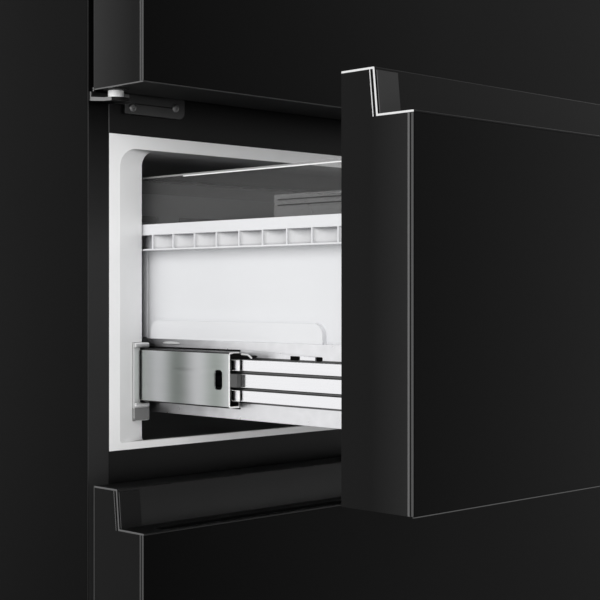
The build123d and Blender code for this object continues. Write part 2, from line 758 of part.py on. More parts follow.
def condenser():
    """The finned condenser block beside the fan."""
    y_low, y_high = MACHINE_DEPTH + CONDENSER_DEPTH_GAP, CABINET_DEPTH - CONDENSER_BACK_GAP
    z_low = CABINET_BASE + SHELL_SHEET
    z_high = z_low + CONDENSER_HEIGHT
    start, end = CONDENSER_INSET - HALF, FAN_X - CONDENSER_FAN_GAP
    count = int((end - start) / CONDENSER_FIN_PITCH)
    fins = []
    for index in range(count + 1):
        x = start + index * CONDENSER_FIN_PITCH
        fins.append(slab((x, x + CONDENSER_FIN), (y_low, y_high), (z_low, z_high)))
    tubes = []
    for row in range(CONDENSER_ROWS):
        z = z_low + CONDENSER_ROW_START + row * CONDENSER_ROW_PITCH
        place = Pos((start + end) / 2, FRONT + (y_low + y_high) / 2, z)
        tubes.append(place * (Rot(0, 90, 0) * Cylinder(CONDENSER_TUBE_RADIUS, end - start)))
    return Part() + fins + tubes


def fan_centre():
    """The middle of the condenser fan's hub."""
    return (FAN_X, machine_middle(), CABINET_BASE + SHELL_SHEET + FAN_RADIUS + SHROUD_MARGIN)


def fan_motor():
    """The fan's shroud plate, spider, motor and shaft."""
    x, y, z = fan_centre()
    side = 2 * (FAN_RADIUS + SHROUD_MARGIN)
    back = Pos(x - SHROUD_BEHIND, y, z)
    hole_radius = FAN_RADIUS + SHROUD_HOLE_GAP
    plate = back * Box(SHROUD_SHEET, side, side)
    hole = back * (Rot(0, 90, 0) * Cylinder(hole_radius, 2 * SHROUD_SHEET))
    arm = Box(SHROUD_SHEET, 2 * hole_radius + CUT_PAST, SPIDER_WIDTH)
    spider = [back * (Rot(angle, 0, 0) * arm) for angle in (45, 135)]
    motor_x = x - FAN_HUB_LENGTH / 2 - CUT_PAST - SHROUD_BEHIND
    motor = Pos(motor_x, y, z) * (Rot(0, 90, 0) * Cylinder(FAN_HUB, FAN_MOTOR_LENGTH))
    shaft = Pos(x, y, z) * (Rot(0, 90, 0) * Cylinder(FAN_SHAFT_RADIUS, FAN_SHAFT_LENGTH))
    return plate - hole + spider + motor + shaft


def condenser_fan():
    """The fan's hub and its pitched blades, bored for the motor shaft."""
    hub = Cylinder(FAN_HUB, FAN_HUB_LENGTH)
    root = FAN_HUB - FAN_BLADE
    blade = Rot(FAN_BLADE_PITCH, 0, 0) * Box(FAN_RADIUS - root, FAN_BLADE_CHORD, FAN_BLADE)
    blade = Pos((FAN_RADIUS + root) / 2, 0, 0) * blade
    blades = [Rot(0, 0, step * 360 / FAN_BLADES) * blade for step in range(FAN_BLADES)]
    rotor = hub + blades - Cylinder(FAN_SHAFT_RADIUS + PIN_CLEARANCE, 2 * FAN_HUB_LENGTH)
    return Pos(*fan_centre()) * (Rot(0, 90, 0) * rotor)


def drip_tray():
    """The defrost water tray on the compressor's dome."""
    z = CABINET_BASE + SHELL_SHEET + COMPRESSOR_LIFT + COMPRESSOR_HEIGHT
    place = Pos(HALF - COMPRESSOR_INSET, machine_middle(), z)
    outline = RectangleRounded(DRIP_LENGTH, DRIP_WIDTH, DRIP_RADIUS)
    wall = DRIP_WALL
    inside = RectangleRounded(DRIP_LENGTH - 2 * wall, DRIP_WIDTH - 2 * wall, DRIP_RADIUS - wall)
    return place * (extrude(outline, DRIP_HEIGHT) - Pos(0, 0, wall) * extrude(inside, DRIP_HEIGHT))


def machine_cover():
    """The slotted board over the machine compartment, with the hole of the mains lead's gland."""
    start = CABINET_DEPTH - COVER_SHEET
    board = slab(across(HALF - SHELL_SHEET), (start, CABINET_DEPTH), (CABINET_BASE + SHELL_SHEET, MACHINE_HIGH))
    thickness = COVER_SHEET + 2 * CUT_PAST
    outline = SlotOverall(COVER_SLOT_LENGTH, COVER_SLOT_HEIGHT)
    slot = stand(outline, start - CUT_PAST, COVER_SLOT_LEVEL, thickness)
    slots = [
        Pos(COVER_SLOT_INSET - HALF + column * COVER_COLUMN_PITCH, 0, row * COVER_ROW_PITCH) * slot
        for column in range(COVER_SLOT_COLUMNS)
        for row in range(COVER_SLOT_ROWS)
    ]
    hole = stand(Circle(GLAND_RADIUS), start - CUT_PAST, GLAND_LEVEL, thickness)
    return board - slots - Pos(HALF - GLAND_INSET, 0, 0) * hole


def evaporator_cover():
    """The moulded board in front of the evaporator, with its air slots."""
    gap = EVAPORATOR_COVER_GAP
    width = CABINET_WIDTH - 2 * WALL_INSET - 2 * gap
    low, high = MIDDLE_LOW + LINER_SILL, MIDDLE_HIGH - LINER_FLANGE
    depth = MIDDLE_DEPTH - EVAPORATOR_ROOM
    outline = arch(width, high - low - 2 * gap, POCKET_RADIUS)
    plate = stand(outline, depth, (low + high) / 2, EVAPORATOR_COVER)
    hole = SlotOverall(EVAPORATOR_SLOT_LENGTH, EVAPORATOR_SLOT_HEIGHT)
    slot = stand(hole, depth - CUT_PAST, high - EVAPORATOR_SLOT_DROP, EVAPORATOR_COVER + 2 * CUT_PAST)
    return plate - [Pos(step * EVAPORATOR_SLOT_PITCH, 0, 0) * slot for step in (-2, -1, 0, 1, 2)]


def evaporator():
    """The plate-fin evaporator in the space behind its cover."""
    front = MIDDLE_DEPTH - EVAPORATOR_ROOM + EVAPORATOR_SETBACK
    back = front + EVAPORATOR_DEPTH
    low = MIDDLE_LOW + LINER_SILL
    half = HALF - EVAPORATOR_INSET
    count = int(2 * half / EVAPORATOR_FIN_PITCH)
    fins = []
    for index in range(count + 1):
        x = (index - count / 2) * EVAPORATOR_FIN_PITCH
        fins.append(slab((x, x + EVAPORATOR_FIN), (front, back), (low, low + EVAPORATOR_HEIGHT)))
    length = 2 * (half + EVAPORATOR_TUBE_REACH)
    tubes = []
    for row in range(EVAPORATOR_ROWS):
        z = low + EVAPORATOR_ROW_START + row * EVAPORATOR_ROW_PITCH
        place = Pos(0, FRONT + (front + back) / 2, z)
        tubes.append(place * (Rot(0, 90, 0) * Cylinder(EVAPORATOR_TUBE_RADIUS, length)))
    return Part() + fins + tubes


def air_duct():
    """The air tower on the fridge's back wall, with an outlet above each shelf."""
    start = FRIDGE_DEPTH - DUCT_DEPTH
    tower = slab(across(DUCT_HALF_WIDTH), (start, FRIDGE_DEPTH), (DUCT_LOW, DUCT_HIGH))
    tower = round_edges(tower, Axis.Z, DUCT_RADIUS, lambda edge: edge.center().Y < FRONT + start + CUT_PAST)
    outlets = []
    for level in SHELF_HEIGHTS:
        low = level + OUTLET_ABOVE_SHELF
        span = (start - CUT_PAST, start + OUTLET_DEPTH)
        outlets.append(slab(across(OUTLET_HALF_WIDTH), span, (low, low + OUTLET_HEIGHT)))
    return tower - outlets


def light_strip():
    """The lamp lens on the fridge's ceiling."""
    top = FRIDGE_HIGH - LINER_FLANGE
    lens = slab(across(LENS_HALF_WIDTH), (LENS_START, LENS_START + LENS_LENGTH), (top - LENS_HEIGHT, top))
    return fillet(lens.faces().sort_by(Axis.Z)[0].edges(), LENS_RADIUS)


def glass_shelves():
    """The glass shelves on their ledges and the glass over the crisper drawers."""
    half = HALF - WALL_INSET - RUN_CLEARANCE
    span = (SHELF_FRONT, FRIDGE_DEPTH - SHELF_BACK_GAP)
    return [slab(across(half), span, (level, level + SHELF_GLASS)) for level in shelf_levels()]


def shelf_levels():
    """The level of every glass sheet in the fridge."""
    return SHELF_HEIGHTS + (crisper_cover_level(),)


def shelf_trims():
    """The front trim of each glass shelf, open behind for the glass."""
    half = HALF - WALL_INSET - RUN_CLEARANCE - SHELF_LEDGE
    back = SHELF_FRONT + TRIM_OVERLAP
    front = SHELF_FRONT - TRIM_AHEAD
    trims = []
    for level in shelf_levels():
        over = level + SHELF_GLASS
        outline = [
            (back, level),
            (SHELF_FRONT, level),
            (SHELF_FRONT, over),
            (back, over),
            (back, over + TRIM_ABOVE),
            (front, over + TRIM_ABOVE),
            (front, level - TRIM_BELOW),
            (back, level - TRIM_BELOW),
        ]
        trims.append(run_across(outline, -half, half))
    return trims


def crisper_cover_level():
    """The level of the glass over the crisper drawers."""
    return FRIDGE_LOW + LINER_SILL + CRISPER_HEIGHT + CRISPER_GAP


def crisper(side):
    """One of the two crisper drawers: a drafted tub with a lipped front."""
    floor = FRIDGE_LOW + LINER_SILL + RUN_CLEARANCE
    rim = floor + CRISPER_HEIGHT
    width = HALF - WALL_INSET - 1.5 * CRISPER_GAP
    centre = side * (width / 2 + CRISPER_GAP / 2)
    middle = CRISPER_FRONT + CRISPER_LENGTH / 2

    def section(level, shrink):
        outline = RectangleRounded(width - shrink, CRISPER_LENGTH - shrink, CRISPER_RADIUS)
        return Plane.XY.offset(level) * outline

    def tub(wall, low):
        shape = loft([section(low, CRISPER_DRAFT + 2 * wall), section(rim, 2 * wall)])
        return Pos(centre, FRONT + middle, 0) * shape

    body = tub(0, floor) - tub(CRISPER_WALL, floor + CRISPER_WALL)
    half = width / 2 - CRISPER_RADIUS
    lip = slab(
        (centre - half, centre + half),
        (CRISPER_FRONT - CRISPER_LIP_REACH, CRISPER_FRONT + CRISPER_WALL / 2),
        (rim - CRISPER_LIP_DROP - CRISPER_LIP, rim - CRISPER_LIP_DROP),
    )
    front = FRONT + CRISPER_FRONT - CRISPER_LIP_REACH
    return body + round_edges(lip, Axis.Z, CRISPER_LIP_RADIUS, lambda edge: edge.center().Y < front + CUT_PAST)


def fixed_rails(drawer):
    """The cabinet members of a drawer's slides, with their races, front tabs and foot blocks."""
    low, high = drawer.rail_low, drawer.rail_low + RAIL_HEIGHT
    web = RAIL_INSET - HALF
    tip = web + RAIL_FLANGE
    lip = tip - RAIL_LIP
    bend = lip - RAIL_LIP_BEND
    sheet = RAIL_STEEL
    race = (RAIL_HEIGHT - SLIDE_HEIGHT) / 2 - RUN_CLEARANCE
    outline = [
        (web, low),
        (tip, low),
        (tip, low + race),
        (lip, low + race),
        (bend, low + sheet),
        (web + sheet, low + sheet),
        (web + sheet, high - sheet),
        (bend, high - sheet),
        (lip, high - race),
        (tip, high - race),
        (tip, high),
        (web, high),
    ]
    channel = run_back(outline, RAIL_START, RAIL_END)
    tab = slab(
        (web, SLIDE_INSET - RUN_CLEARANCE - HALF), (RAIL_START, RAIL_START + sheet), (low, high)
    )
    foot = slab(
        (web, web + RAIL_FOOT_WIDTH), (RAIL_START, RAIL_START + RAIL_FOOT_LENGTH), (low - RAIL_FOOT, low)
    )
    foot = round_edges(foot, Axis.Y, RAIL_FOOT_RADIUS, lambda edge: edge.center().Z < low - CUT_PAST)
    return both_sides(channel + tab + foot)


def slides(drawer):
    """The middle members of a drawer's slides: hemmed channels with a slotted end and a stop block."""
    middle = drawer.rail_middle
    low, high = middle - SLIDE_HEIGHT / 2, middle + SLIDE_HEIGHT / 2
    web = SLIDE_INSET - HALF
    tip = web + SLIDE_FLANGE
    sheet = RAIL_STEEL
    hem = (SLIDE_HEIGHT - RUNNER_HEIGHT) / 2 - RUN_CLEARANCE
    outline = [
        (web, low),
        (tip, low),
        (tip, low + hem),
        (tip - sheet, low + hem),
        (tip - sheet, low + sheet),
        (web + sheet, low + sheet),
        (web + sheet, high - sheet),
        (tip - sheet, high - sheet),
        (tip - sheet, high - hem),
        (tip, high - hem),
        (tip, high),
        (web, high),
    ]
    channel = run_back(outline, SLIDE_START, SLIDE_END)
    channel = round_edges(channel, Axis.Y, SLIDE_BEND_RADIUS, lambda edge: edge.center().X < web + sheet / 2)
    slot = slab(
        (web - CUT_PAST, web + sheet + CUT_PAST),
        (SLIDE_START + SLOT_SETBACK, SLIDE_START + SLOT_SETBACK + SLOT_LENGTH),
        across_from(middle, SLOT_HEIGHT),
    )
    slot = round_edges(slot, Axis.X, SLOT_RADIUS)
    stop_tip = RUNNER_INSET - RUNNER_BAND_PROUD - RUN_CLEARANCE - HALF
    block = slab(
        (web + sheet, stop_tip),
        (SLIDE_START - STOP_REACH, SLIDE_START - STOP_REACH + STOP_LENGTH),
        across_from(middle, STOP_HEIGHT),
    )
    return Pos(0, -drawer.out / 2, 0) * both_sides(channel - slot + block)


def across_from(middle, height):
    """The span of something of one height about a middle level."""
    return (middle - height / 2, middle + height / 2)


def runners(drawer):
    """The drawer members of the slides: a bar with a raised middle band between two grooves."""
    middle = drawer.rail_middle
    half, band = RUNNER_HEIGHT / 2, RUNNER_BAND / 2
    outer = band + RUNNER_GROOVE
    face = RUNNER_INSET - HALF
    root = BRACKET_INSET - HALF
    proud = face - RUNNER_BAND_PROUD
    sunk = face + RUNNER_GROOVE_DEPTH
    sheet = RUNNER_STEEL
    upper = [
        (root, half),
        (face, half),
        (face, outer),
        (sunk, outer),
        (sunk, band),
        (proud, band),
    ]
    inner = [
        (proud + sheet, band - sheet),
        (sunk + sheet, band - sheet),
        (sunk + sheet, outer + sheet),
        (face + sheet, outer + sheet),
        (face + sheet, half - sheet),
        (root, half - sheet),
    ]
    outline = [(x, middle + z) for x, z in upper]
    outline += [(x, middle - z) for x, z in reversed(upper)]
    outline += [(x, middle - z) for x, z in reversed(inner)]
    outline += [(x, middle + z) for x, z in inner]
    bar = run_back(outline, 0, RUNNER_LENGTH)
    return Pos(0, -drawer.out, 0) * both_sides(bar)


def brackets(drawer):
    """The side plates that join the runners to the drawer front and carry the bin on a shelf."""
    low = drawer.opening_low + BRACKET_RISE
    high = drawer.shelf_level
    face = BRACKET_INSET - HALF
    back = face + BRACKET_STEEL
    outline = [
        (face, low),
        (back, low),
        (back, high - BRACKET_STEEL),
        (face + BRACKET_SHELF, high - BRACKET_STEEL),
        (face + BRACKET_SHELF, high),
        (face, high),
    ]
    plate = run_back(outline, 0, BRACKET_LENGTH)
    notch_low = drawer.rail_middle + RUNNER_HEIGHT / 2 + RUN_CLEARANCE
    notch = slab(
        (face - CUT_PAST, back + CUT_PAST),
        (NOTCH_START, NOTCH_START + NOTCH_LENGTH),
        (notch_low, notch_low + NOTCH_HEIGHT),
    )
    foot = slab((face, face + BRACKET_FOOT), (0, BRACKET_STEEL), (low, high))
    return Pos(0, -drawer.out, 0) * both_sides(plate - notch + foot)


def panel_back():
    """The depth of the back of a front panel."""
    return -(DOOR_REACH - PANEL)


def core_outline(drawer):
    """The side profile of a drawer front's body, with the step for the handle."""
    back = -DOOR_GAP
    lip = back - LIP_DEPTH + HANDLE_SHEET + HANDLE_SLIT
    top = drawer.front_high - HANDLE_SHEET
    ledge = drawer.face_high - HANDLE_SHEET
    return [
        (back, drawer.front_low),
        (panel_back(), drawer.front_low),
        (panel_back(), ledge),
        (lip - RISER_SLANT, ledge),
        (lip, top),
        (back, top),
    ]


def edge_groove(low, high):
    """The shadow groove behind a front panel, and the step that lights up behind it, on both sides."""
    start = panel_back()
    end = start + GROOVE_WIDTH
    ring = slab(across(HALF + CUT_PAST), (start - CUT_PAST, end), (low - CUT_PAST, high + CUT_PAST))
    inner = slab(
        across(HALF - GROOVE_DEPTH),
        (start - 2 * CUT_PAST, end + CUT_PAST),
        (low + GROOVE_DEPTH, high + 2 * CUT_PAST),
    )
    step = slab(
        (HALF - EDGE_STEP, HALF + CUT_PAST),
        (start - CUT_PAST, end + EDGE_STRIP),
        (low - CUT_PAST, high + CUT_PAST),
    )
    return ring - inner + both_sides(step)


def grip_span():
    """How far behind the front plane the finger channel lies, with the drawer shut."""
    front = -(DOOR_REACH - GRIP_BEHIND_FACE)
    return (front, front + GRIP_WIDTH)


def drawer_core(drawer):
    """The body of a drawer front, behind its panel and under its handle."""
    ledge = drawer.face_high - HANDLE_SHEET
    body = run_across(core_outline(drawer), -HALF, HALF)
    body -= edge_groove(drawer.front_low, ledge)
    span = grip_span()
    channel = slab(
        across(HALF - CAP_WIDTH),
        (span[0] - RUN_CLEARANCE, span[1] + RUN_CLEARANCE),
        (ledge - GRIP_DROP - RUN_CLEARANCE, ledge + CUT_PAST),
    )
    return Pos(0, -drawer.out, 0) * (body - channel)


def drawer_panel(drawer):
    """The front skin of a drawer, with a fine rounded edge."""
    return Pos(0, -drawer.out, 0) * front_panel(drawer.front_low, drawer.face_high - HANDLE_SHEET)


def front_panel(low, high):
    """A flat front skin between two levels."""
    panel = slab(across(HALF), (-DOOR_REACH, panel_back()), (low, high))
    face = panel.faces().sort_by(Axis.Y)[0]
    return fillet(face.edges(), PANEL_EDGE_RADIUS)


def handle(drawer):
    """The Z-profile handle: lip, slanting riser, ledge and the finger channel sunk in the ledge."""
    sheet = HANDLE_SHEET
    back = -DOOR_GAP
    lip = back - LIP_DEPTH
    top, ledge = drawer.front_high, drawer.face_high
    front = -DOOR_REACH
    outline = [
        (back, top),
        (lip, top),
        (lip - RISER_SLANT, ledge),
        (front, ledge),
        (front, ledge - sheet),
        (lip - RISER_SLANT + sheet, ledge - sheet),
        (lip + sheet, top - sheet),
        (back, top - sheet),
    ]
    profile = run_across(outline, -HALF, HALF)
    for depth, level in ((lip, top), (front, ledge)):
        profile = round_corner(profile, depth, level, HANDLE_EDGE_RADIUS)
    span = grip_span()
    half = HALF - CAP_WIDTH - sheet
    trough = slab(across(half + sheet), span, (ledge - sheet - GRIP_DROP, ledge - sheet))
    hollow = slab(
        across(half), (span[0] + sheet, span[1] - sheet), (ledge - GRIP_DROP, ledge + CUT_PAST)
    )
    return Pos(0, -drawer.out, 0) * (profile + trough - hollow)


def handle_caps(drawer):
    """The pale end caps on the riser, one at each end of the handle."""
    lip = -DOOR_GAP - LIP_DEPTH
    top, ledge = drawer.front_high, drawer.face_high
    high = top - CAP_BELOW_LIP
    high_shift = RISER_SLANT * CAP_BELOW_LIP / (top - ledge)
    outline = [
        (lip - high_shift, high),
        (lip - RISER_SLANT, ledge),
        (lip - RISER_SLANT - CAP_PROUD, ledge),
        (lip - high_shift - CAP_PROUD, high),
    ]
    cap = run_across(outline, CAP_INSET - HALF, CAP_WIDTH - HALF)
    return Pos(0, -drawer.out, 0) * both_sides(cap)


def gasket(low, high, out):
    """The magnetic seal round the back of a door, just clear of the cabinet's face."""
    outer_width = CABINET_WIDTH - 2 * GASKET_INSET
    middle = (low + high) / 2
    thickness = DOOR_GAP - GASKET_CLEARANCE
    outer = upright(outer_width, high - low, GASKET_RADIUS, -DOOR_GAP, middle, thickness)
    inner_width, inner_height = outer_width - 2 * GASKET_WIDTH, high - low - 2 * GASKET_WIDTH
    inner = upright(
        inner_width, inner_height, GASKET_RADIUS / 2, -DOOR_GAP - CUT_PAST, middle, thickness + 2 * CUT_PAST
    )
    return Pos(0, -out, 0) * (outer - inner)


def drawer_gasket(drawer):
    """The seal of one drawer front."""
    return gasket(drawer.opening_low - LINER_SILL, drawer.opening_high + LINER_SILL, drawer.out)


def drawer_liner(drawer):
    """The moulded inner panel of a drawer front, inside its seal."""
    low = drawer.opening_low - LINER_SILL + GASKET_WIDTH + INNER_PANEL_MARGIN
    high = drawer.opening_high + LINER_SILL - GASKET_WIDTH - INNER_PANEL_MARGIN
    width = CABINET_WIDTH - 2 * (GASKET_INSET + GASKET_WIDTH + INNER_PANEL_MARGIN)
    base = upright(width, high - low, INNER_PANEL_RADIUS, -DOOR_GAP, (low + high) / 2, DOOR_GAP)
    return Pos(0, -drawer.out, 0) * base


def drawer_bin(drawer):
    """The deep bin: stepped tub, raised side pads and a rim stiffened by a row of ribs."""
    rim_high = drawer.rim_high
    shelf = drawer.shelf_level
    floor = drawer.opening_low + BIN_FLOOR_RISE
    middle = BIN_FRONT + BIN_LENGTH / 2
    overhang = BIN_WALL_INSET - BIN_RIM_INSET
    wall_length = BIN_LENGTH - 2 * overhang
    foot_length = wall_length - 2 * (BIN_FOOT_INSET - BIN_WALL_INSET)
    radius = BIN_CORNER_RADIUS - overhang
    wall = BIN_WALL

    def tier(inset, length, corner, low, high):
        shape = RectangleRounded(CABINET_WIDTH - 2 * inset, length, corner)
        return Pos(0, FRONT + middle, low) * extrude(shape, high - low)

    def hollow(inset, length, low, high):
        return tier(inset + wall, length - 2 * wall, radius - wall, low + wall, high)

    upper = tier(BIN_WALL_INSET, wall_length, radius, shelf, rim_high)
    lower = tier(BIN_FOOT_INSET, foot_length, radius, floor, shelf)
    hollow_upper = hollow(BIN_WALL_INSET, wall_length, shelf, rim_high + CUT_PAST)
    hollow_lower = hollow(BIN_FOOT_INSET, foot_length, floor, shelf + 2 * wall)
    band_low = rim_high - BIN_BAND
    cell_low = band_low - BIN_CELL
    band = tier(BIN_RIM_INSET, BIN_LENGTH, BIN_CORNER_RADIUS, band_low, rim_high)
    edge = tier(BIN_RIM_INSET, BIN_LENGTH, BIN_CORNER_RADIUS, cell_low - BIN_RIB, cell_low)
    ribs = rim_ribs(cell_low, band_low, overhang)
    pad = slab(
        left_of(BRACKET_INSET + BRACKET_STEEL, BIN_WALL_INSET + wall / 2),
        (BIN_FRONT + BIN_PAD_FRONT, BIN_FRONT + BIN_LENGTH - BIN_PAD_BACK),
        (shelf, shelf + BIN_PAD_HEIGHT),
    )
    pad = round_edges(pad, Axis.X, BIN_PAD_RADIUS, lambda corner: corner.center().Z > shelf + CUT_PAST)
    shape = upper + lower + band + edge + ribs + both_sides(pad) - hollow_upper - hollow_lower
    return Pos(0, -drawer.out, 0) * shape


def rim_ribs(low, high, overhang):
    """The short ribs that tie the rim's band to the flange below it, round all four sides."""
    ribs = []
    reach = overhang + BIN_WALL / 2
    count = int((BIN_LENGTH - BIN_RIB_END - BIN_CORNER_RADIUS) / BIN_RIB_PITCH) + 1
    for index in range(count):
        depth = BIN_FRONT + BIN_LENGTH - BIN_RIB_END - index * BIN_RIB_PITCH
        rib = slab(left_of(BIN_RIM_INSET, BIN_RIM_INSET + reach), across_from(depth, BIN_RIB), (low, high))
        ribs.append(rib)
        ribs.append(rib.mirror(Plane.YZ))
    pitch = 2 * BIN_RIB_PITCH
    half_width = HALF - BIN_RIM_INSET - BIN_CORNER_RADIUS
    end_count = int(half_width / pitch)
    for index in range(-end_count, end_count + 1):
        for start in (BIN_FRONT, BIN_FRONT + BIN_LENGTH - reach):
            ribs.append(slab(across_from(index * pitch, BIN_RIB), (start, start + reach), (low, high)))
    return ribs


def drawer_tray(drawer):
    """The clear tray that slides on the bin's rim, with hangers along both sides."""
    low = drawer.rim_high + RUN_CLEARANCE
    top = drawer.rim_high + TRAY_ABOVE_RIM
    length = BIN_LENGTH - 2 * (BIN_WALL_INSET - BIN_RIM_INSET + TRAY_END_GAP)
    middle = BIN_FRONT + BIN_LENGTH / 2
    width = CABINET_WIDTH - 2 * TRAY_INSET - 2 * RUN_CLEARANCE

    def tub(wall, bottom):
        shape = RectangleRounded(width - 2 * wall, length - 2 * wall, TRAY_RADIUS)
        return Pos(0, FRONT + middle, bottom) * extrude(shape, top - bottom)

    hanger = slab(
        left_of(TRAY_HANGER_INSET, TRAY_INSET + TRAY_WALL),
        (BIN_FRONT + TRAY_HANGER_MARGIN, BIN_FRONT + BIN_LENGTH - TRAY_HANGER_MARGIN),
        (low, low + TRAY_HANGER),
    )
    shape = tub(0, low) + both_sides(hanger) - tub(TRAY_WALL, low + TRAY_WALL)
    return Pos(0, -drawer.out, 0) * shape


def door_pin_bores(radius):
    """The holes in the fridge door for its two hinge pins."""
    x, y = hinge_plane_x(), FRONT - HINGE_AHEAD
    reach = HINGE_PIN_REACH + BUSH_ROOM
    bores = []
    for level, way in ((FRIDGE_DOOR_LOW, 1), (FRIDGE_DOOR_HIGH, -1)):
        bores.append(Pos(x, y, level + way * (reach - CUT_PAST) / 2) * Cylinder(radius, reach + CUT_PAST))
    return bores


def fridge_door_core():
    """The body of the fridge door between its front panel and its liner."""
    body = slab(across(HALF), (panel_back(), -DOOR_GAP), (FRIDGE_DOOR_LOW, FRIDGE_DOOR_HIGH))
    return body - edge_groove(FRIDGE_DOOR_LOW, FRIDGE_DOOR_HIGH) - door_pin_bores(BUSH_RADIUS)


def fridge_door_panel():
    """The tall front skin of the fridge door."""
    return front_panel(FRIDGE_DOOR_LOW, FRIDGE_DOOR_HIGH)


def door_bushes():
    """The two bushes in the door that turn on the hinge pins."""
    x, y = hinge_plane_x(), FRONT - HINGE_AHEAD
    reach = HINGE_PIN_REACH + BUSH_ROOM
    bushes = []
    for level, way in ((FRIDGE_DOOR_LOW, 1), (FRIDGE_DOOR_HIGH, -1)):
        sleeve = Pos(x, y, level + way * reach / 2) * Cylinder(BUSH_RADIUS, reach)
        head = Pos(x, y, level - way * BUSH_FLANGE / 2) * Cylinder(BUSH_HEAD_RADIUS, BUSH_FLANGE)
        bore = Pos(x, y, level) * Cylinder(HINGE_PIN_RADIUS + PIN_CLEARANCE, 2 * reach + CUT_PAST)
        bushes.append(sleeve + head - bore)
    return bushes


def door_gasket():
    """The seal of the fridge door."""
    return gasket(FRIDGE_LOW - DOOR_SEAL_LOW, FRIDGE_HIGH + DOOR_SEAL_HIGH, 0)


def fridge_door_liner():
    """The moulded inner side of the fridge door: a flat back and a raised dyke that holds the bins."""
    low = FRIDGE_LOW + LINER_FLANGE + DOOR_LINER_LOW
    high = FRIDGE_HIGH - LINER_FLANGE - DOOR_LINER_HIGH
    middle = (low + high) / 2
    width = CABINET_WIDTH - 2 * DOOR_DYKE_INSET
    thickness = DOOR_GAP + DOOR_LINER_BULGE
    outer = upright(width, high - low, DOOR_LINER_RADIUS, -DOOR_GAP, middle, thickness)
    outer = chamfer(outer.faces().sort_by(Axis.Y)[-1].edges(), DOOR_LINER_CHAMFER)
    inner_width, inner_height = width - 2 * DOOR_DYKE_WIDTH, high - low - 2 * DOOR_DYKE_WIDTH
    inner = upright(inner_width, inner_height, DOOR_POCKET_RADIUS, SKIN - DOOR_GAP, middle, thickness)
    return outer - inner


def door_bins():
    """The bins of the fridge door, seated between the dykes."""
    half = HALF - DOOR_DYKE_INSET - DOOR_DYKE_WIDTH - RUN_CLEARANCE
    wall = DOOR_BIN_WALL
    y = FRONT - DOOR_GAP + SKIN + DOOR_BIN_DEPTH / 2
    bins = []
    for level in BIN_HEIGHTS:
        top = level + DOOR_BIN_HEIGHT
        outline = RectangleRounded(2 * half, DOOR_BIN_DEPTH, DOOR_BIN_RADIUS)
        inside = RectangleRounded(2 * (half - wall), DOOR_BIN_DEPTH - 2 * wall, DOOR_BIN_RADIUS - wall)
        outer = Pos(0, y, level) * extrude(outline, DOOR_BIN_HEIGHT)
        inner = Pos(0, y, level + wall) * extrude(inside, top - level)
        bins.append(outer - inner)
    return bins


def write(name, shape):
    """Write one named piece, or a group of separate solids."""
    if isinstance(shape, (list, tuple)):
        shape = Compound(children=[solid for part in shape for solid in part.solids()])
    export_step(shape, f"parts/{name}.step")


def main():
    """Build every piece and write it to its own file."""
    os.makedirs("parts", exist_ok=True)
    middle, lower = DRAWERS
    write("outer_shell", outer_shell())
    write("back_panel", back_panel())
    write("base_pan", base_pan())
    write("insulation_foam", foam())
    fridge_liner = liner(FRIDGE_LOW, FRIDGE_HIGH, FRIDGE_DEPTH) + shelf_ledges()
    write("fridge_liner", fridge_liner)
    write("middle_liner", liner(MIDDLE_LOW, MIDDLE_HIGH, MIDDLE_DEPTH, middle))
    write("lower_liner", liner(LOWER_LOW, LOWER_HIGH, LOWER_DEPTH, lower))
    write("crossbars", crossbars())
    write("kick_plate", kick_plate())
    write("top_hinge", top_hinge())
    write("hinge_cover", hinge_cover())
    write("middle_hinge", middle_hinge())
    write("front_foot_left", levelling_foot())
    write("front_foot_right", levelling_foot().mirror(Plane.YZ))
    write("rear_roller_left", roller())
    write("rear_roller_right", roller().mirror(Plane.YZ))
    write("compressor", compressor())
    write("condenser", condenser())
    write("fan_motor", fan_motor())
    write("condenser_fan", condenser_fan())
    write("drip_tray", drip_tray())
    write("machine_cover", machine_cover())
    write("evaporator", evaporator())
    write("evaporator_cover", evaporator_cover())
    write("air_duct", air_duct())
    write("light_strip", light_strip())
    write("glass_shelves", glass_shelves())
    write("shelf_trims", shelf_trims())
    write("crisper_left", crisper(-1))
    write("crisper_right", crisper(1))
    write("fridge_door_core", fridge_door_core())
    write("fridge_door_panel", fridge_door_panel())
    write("fridge_door_liner", fridge_door_liner())
    write("fridge_door_gasket", door_gasket())
    write("fridge_door_bushes", door_bushes())
    write("fridge_door_bins", door_bins())
    for drawer in DRAWERS:
        name = drawer.name
        write(f"{name}_fixed_rails", fixed_rails(drawer))
        write(f"{name}_slides", slides(drawer))
        write(f"{name}_runners", runners(drawer))
        write(f"{name}_drawer_brackets", brackets(drawer))
        write(f"{name}_drawer_core", drawer_core(drawer))
        write(f"{name}_drawer_panel", drawer_panel(drawer))
        write(f"{name}_drawer_handle", handle(drawer))
        write(f"{name}_handle_caps", handle_caps(drawer))
        write(f"{name}_drawer_gasket", drawer_gasket(drawer))
        write(f"{name}_drawer_liner", drawer_liner(drawer))
        write(f"{name}_drawer_bin", drawer_bin(drawer))
        write(f"{name}_drawer_tray", drawer_tray(drawer))


main()
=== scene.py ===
import json
import logging
import math
from collections.abc import Callable, Iterable, Sequence
from dataclasses import dataclass
from enum import Enum

